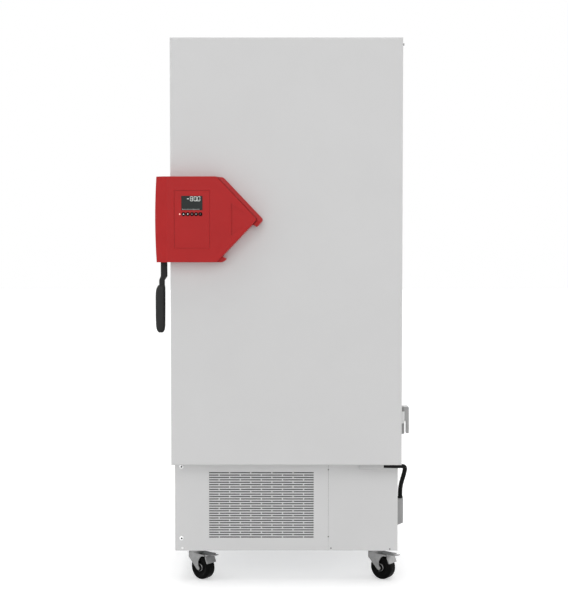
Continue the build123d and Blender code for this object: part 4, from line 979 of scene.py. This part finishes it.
def make_screws():
    """Screws that hold the base's front panels, the rear panels and the cabinet's half of the hinges."""
    for index, (x, z, radius, metal, socket_shade_or_own) in enumerate(panel_screws):
        screw(f"panel_screw_{index}", (x, panel_face, z), to_front, radius, metal, socket_shade_or_own)
    for level, z in enumerate(rear_screw_heights):
        for side, x in (("left", -rear_screw_side), ("right", rear_screw_side)):
            screw(f"rear_screw_{level}_{side}", (x, rear_face, z), to_rear, rear_screw_radius)
    for index, z in enumerate(leaf_screw_heights):
        screw(f"leaf_screw_{index}", (leaf_face, leaf_screw_y, z), to_right, leaf_screw_radius)
    for index, (x, y) in enumerate(bracket_screw_places):
        screw(f"bracket_screw_{index}", (x, y, bracket_top), to_top, bracket_screw_radius)


# Hinge sleeve

sleeve_sides = 48
sleeve_rings = [
    (0.00945, 0.5905),
    (0.00970, 0.5905),
    (0.00985, 0.5915),
    (0.00985, 0.6319),
    (0.00970, 0.6329),
    (0.00945, 0.6329),
]
hinge_axis = (0.421, -0.311, 0.0)


def make_sleeve():
    """Pale bearing sleeve round the hinge's middle knuckle."""
    mesh = mesh_from("hinge_sleeve", hollow_lathe(sleeve_rings, sleeve_sides))
    mesh.transform(Matrix.Translation(hinge_axis))
    sleeve = new_piece("hinge_sleeve", mesh, sleeve_plastic, "cabinet")


# Pod seam, a strip of painted shade, with X and Z along it

seam_front = -0.4484
seam_rear = -0.4474
seam_width = 0.0016
seam_line = [
    (-0.2480, 1.4744),
    (-0.2446, 1.4740),
    (-0.2411, 1.4720),
    (-0.1068, 1.3312),
    (-0.1045, 1.3278),
    (-0.1045, 1.3238),
    (-0.1068, 1.3202),
    (-0.1190, 1.3075),
]


def make_pod_seam():
    """Dark strip of painted shade along the slanted edges, between the pod's cover and the housing's rim.
    """
    inner = [Vector(point) for point in seam_line]
    outer = []
    for index, point in enumerate(inner):
        before = inner[max(index - 1, 0)]
        after = inner[min(index + 1, len(inner) - 1)]
        along = (after - before).normalized()
        outer.append(point + Vector((-along.y, along.x)) * seam_width)
    made = bmesh.new()
    loops = []
    for near, far in zip(inner, outer):
        corners = ((near, seam_front), (far, seam_front), (far, seam_rear), (near, seam_rear))
        loops.append([made.verts.new((flat.x, y, flat.y)) for flat, y in corners])
    closed_rings(made, loops)
    seam = new_piece("pod_seam_shade", mesh_from("pod_seam_shade", made, False), seam_shadow, "door")


# Key rims

panel_front = -0.467
rim_sides = 40
rim_rings = [
    (0.00590, 0.0),
    (0.00710, 0.0),
    (0.00710, 0.00025),
    (0.00690, 0.00040),
    (0.00610, 0.00040),
    (0.00590, 0.00025),
]


def make_key_rims():
    """Dark rims in the panel round the keys."""
    for index in range(len(key_icons)):
        name = f"key_rim_{index + 1}"
        mesh = mesh_from(name, hollow_lathe(rim_rings, rim_sides))
        place = (key_first + key_pitch * index, panel_front, key_height)
        mesh.transform(Matrix.Translation(place) @ facing(to_front))
        rim = new_piece(name, mesh, key_plastic, "door")


make_cable()
make_seal()
make_grip()
make_keys()
make_digits()
make_scale()
make_wheels()
make_hub_rings()
make_screws()
make_sleeve()
make_pod_seam()
make_key_rims()


# Stage, light and camera, each light with its strength, direction and spread in degrees

ambient_level = 0.35
floor_lift = 0.40
floor_reach = 40
floor_colour = (0.85, 0.85, 0.85, 1)
pure_white = (1, 1, 1, 1)
lights = [
    ("front_light", 1.42, (0.1, 1.0, -0.12), 75),
    ("top_light", 0.9, (0.0, 0.1, -1.0), 40),
    ("left_light", 1.0, (1.0, 0.1, -0.15), 60),
    ("right_light", 1.0, (-1.0, 0.1, -0.15), 60),
    ("back_light", 1.0, (0.0, -1.0, -0.2), 60),
]


def white_for_camera(tree, dull, bright):
    """Mix of two shaders: the bright one for what the camera, metal and glass see."""
    path = tree.nodes.new("ShaderNodeLightPath")
    first = tree.nodes.new("ShaderNodeMath")
    first.operation = "MAXIMUM"
    second = tree.nodes.new("ShaderNodeMath")
    second.operation = "MAXIMUM"
    mix = tree.nodes.new("ShaderNodeMixShader")
    tree.links.new(path.outputs["Is Camera Ray"], first.inputs[0])
    tree.links.new(path.outputs["Is Glossy Ray"], first.inputs[1])
    tree.links.new(first.outputs[0], second.inputs[0])
    tree.links.new(path.outputs["Is Transmission Ray"], second.inputs[1])
    tree.links.new(second.outputs[0], mix.inputs["Fac"])
    tree.links.new(dull, mix.inputs[1])
    tree.links.new(bright, mix.inputs[2])
    return mix.outputs[0]


def make_world():
    """White surround for the camera that lights the object at a plain level."""
    world = bpy.data.worlds.new("surround")
    world.use_nodes = True
    scene.world = world
    tree = world.node_tree
    dull = tree.nodes["Background"]
    dull.inputs["Color"].default_value = pure_white
    dull.inputs["Strength"].default_value = ambient_level
    bright = tree.nodes.new("ShaderNodeBackground")
    bright.inputs["Color"].default_value = pure_white
    bright.inputs["Strength"].default_value = 1.0
    mixed = white_for_camera(tree, dull.outputs[0], bright.outputs[0])
    tree.links.new(mixed, tree.nodes["World Output"].inputs["Surface"])


def make_floor():
    """Pale floor that keeps the shadow."""
    made = bmesh.new()
    bmesh.ops.create_grid(made, x_segments=1, y_segments=1, size=floor_reach)
    mesh = bpy.data.meshes.new("floor")
    made.to_mesh(mesh)
    made.free()
    floor = bpy.data.objects.new("floor", mesh)
    scene.collection.objects.link(floor)
    material, tree, shader = start_material("floor_white")
    shader.inputs["Base Color"].default_value = floor_colour
    shader.inputs["Roughness"].default_value = 1.0
    shader.inputs["Specular IOR Level"].default_value = 0.0
    glow = tree.nodes.new("ShaderNodeEmission")
    glow.inputs["Color"].default_value = pure_white
    glow.inputs["Strength"].default_value = floor_lift
    both = tree.nodes.new("ShaderNodeAddShader")
    tree.links.new(shader.outputs[0], both.inputs[0])
    tree.links.new(glow.outputs[0], both.inputs[1])
    mixed = white_for_camera(tree, shader.outputs[0], both.outputs[0])
    tree.links.new(mixed, tree.nodes["Material Output"].inputs["Surface"])
    mesh.materials.append(material)


def soft_light(name, strength, toward, spread_angle):
    """Broad soft lamp, given by the direction in which it shines."""
    data = bpy.data.lights.new(name, "SUN")
    data.energy = strength
    data.angle = math.radians(spread_angle)
    lamp = bpy.data.objects.new(name, data)
    lamp.rotation_euler = Vector(toward).to_track_quat("-Z", "Y").to_euler()
    scene.collection.objects.link(lamp)


def make_camera():
    """Camera in front of the object."""
    data = bpy.data.cameras.new("camera")
    data.lens = camera_lens
    data.sensor_width = camera_sensor
    camera = bpy.data.objects.new("camera", data)
    camera.location = camera_place
    camera.rotation_euler = (camera_pitch, 0, 0)
    scene.collection.objects.link(camera)
    scene.camera = camera


make_world()
make_floor()
for light in lights:
    soft_light(*light)
make_camera()
scene.view_settings.view_transform = "Standard"
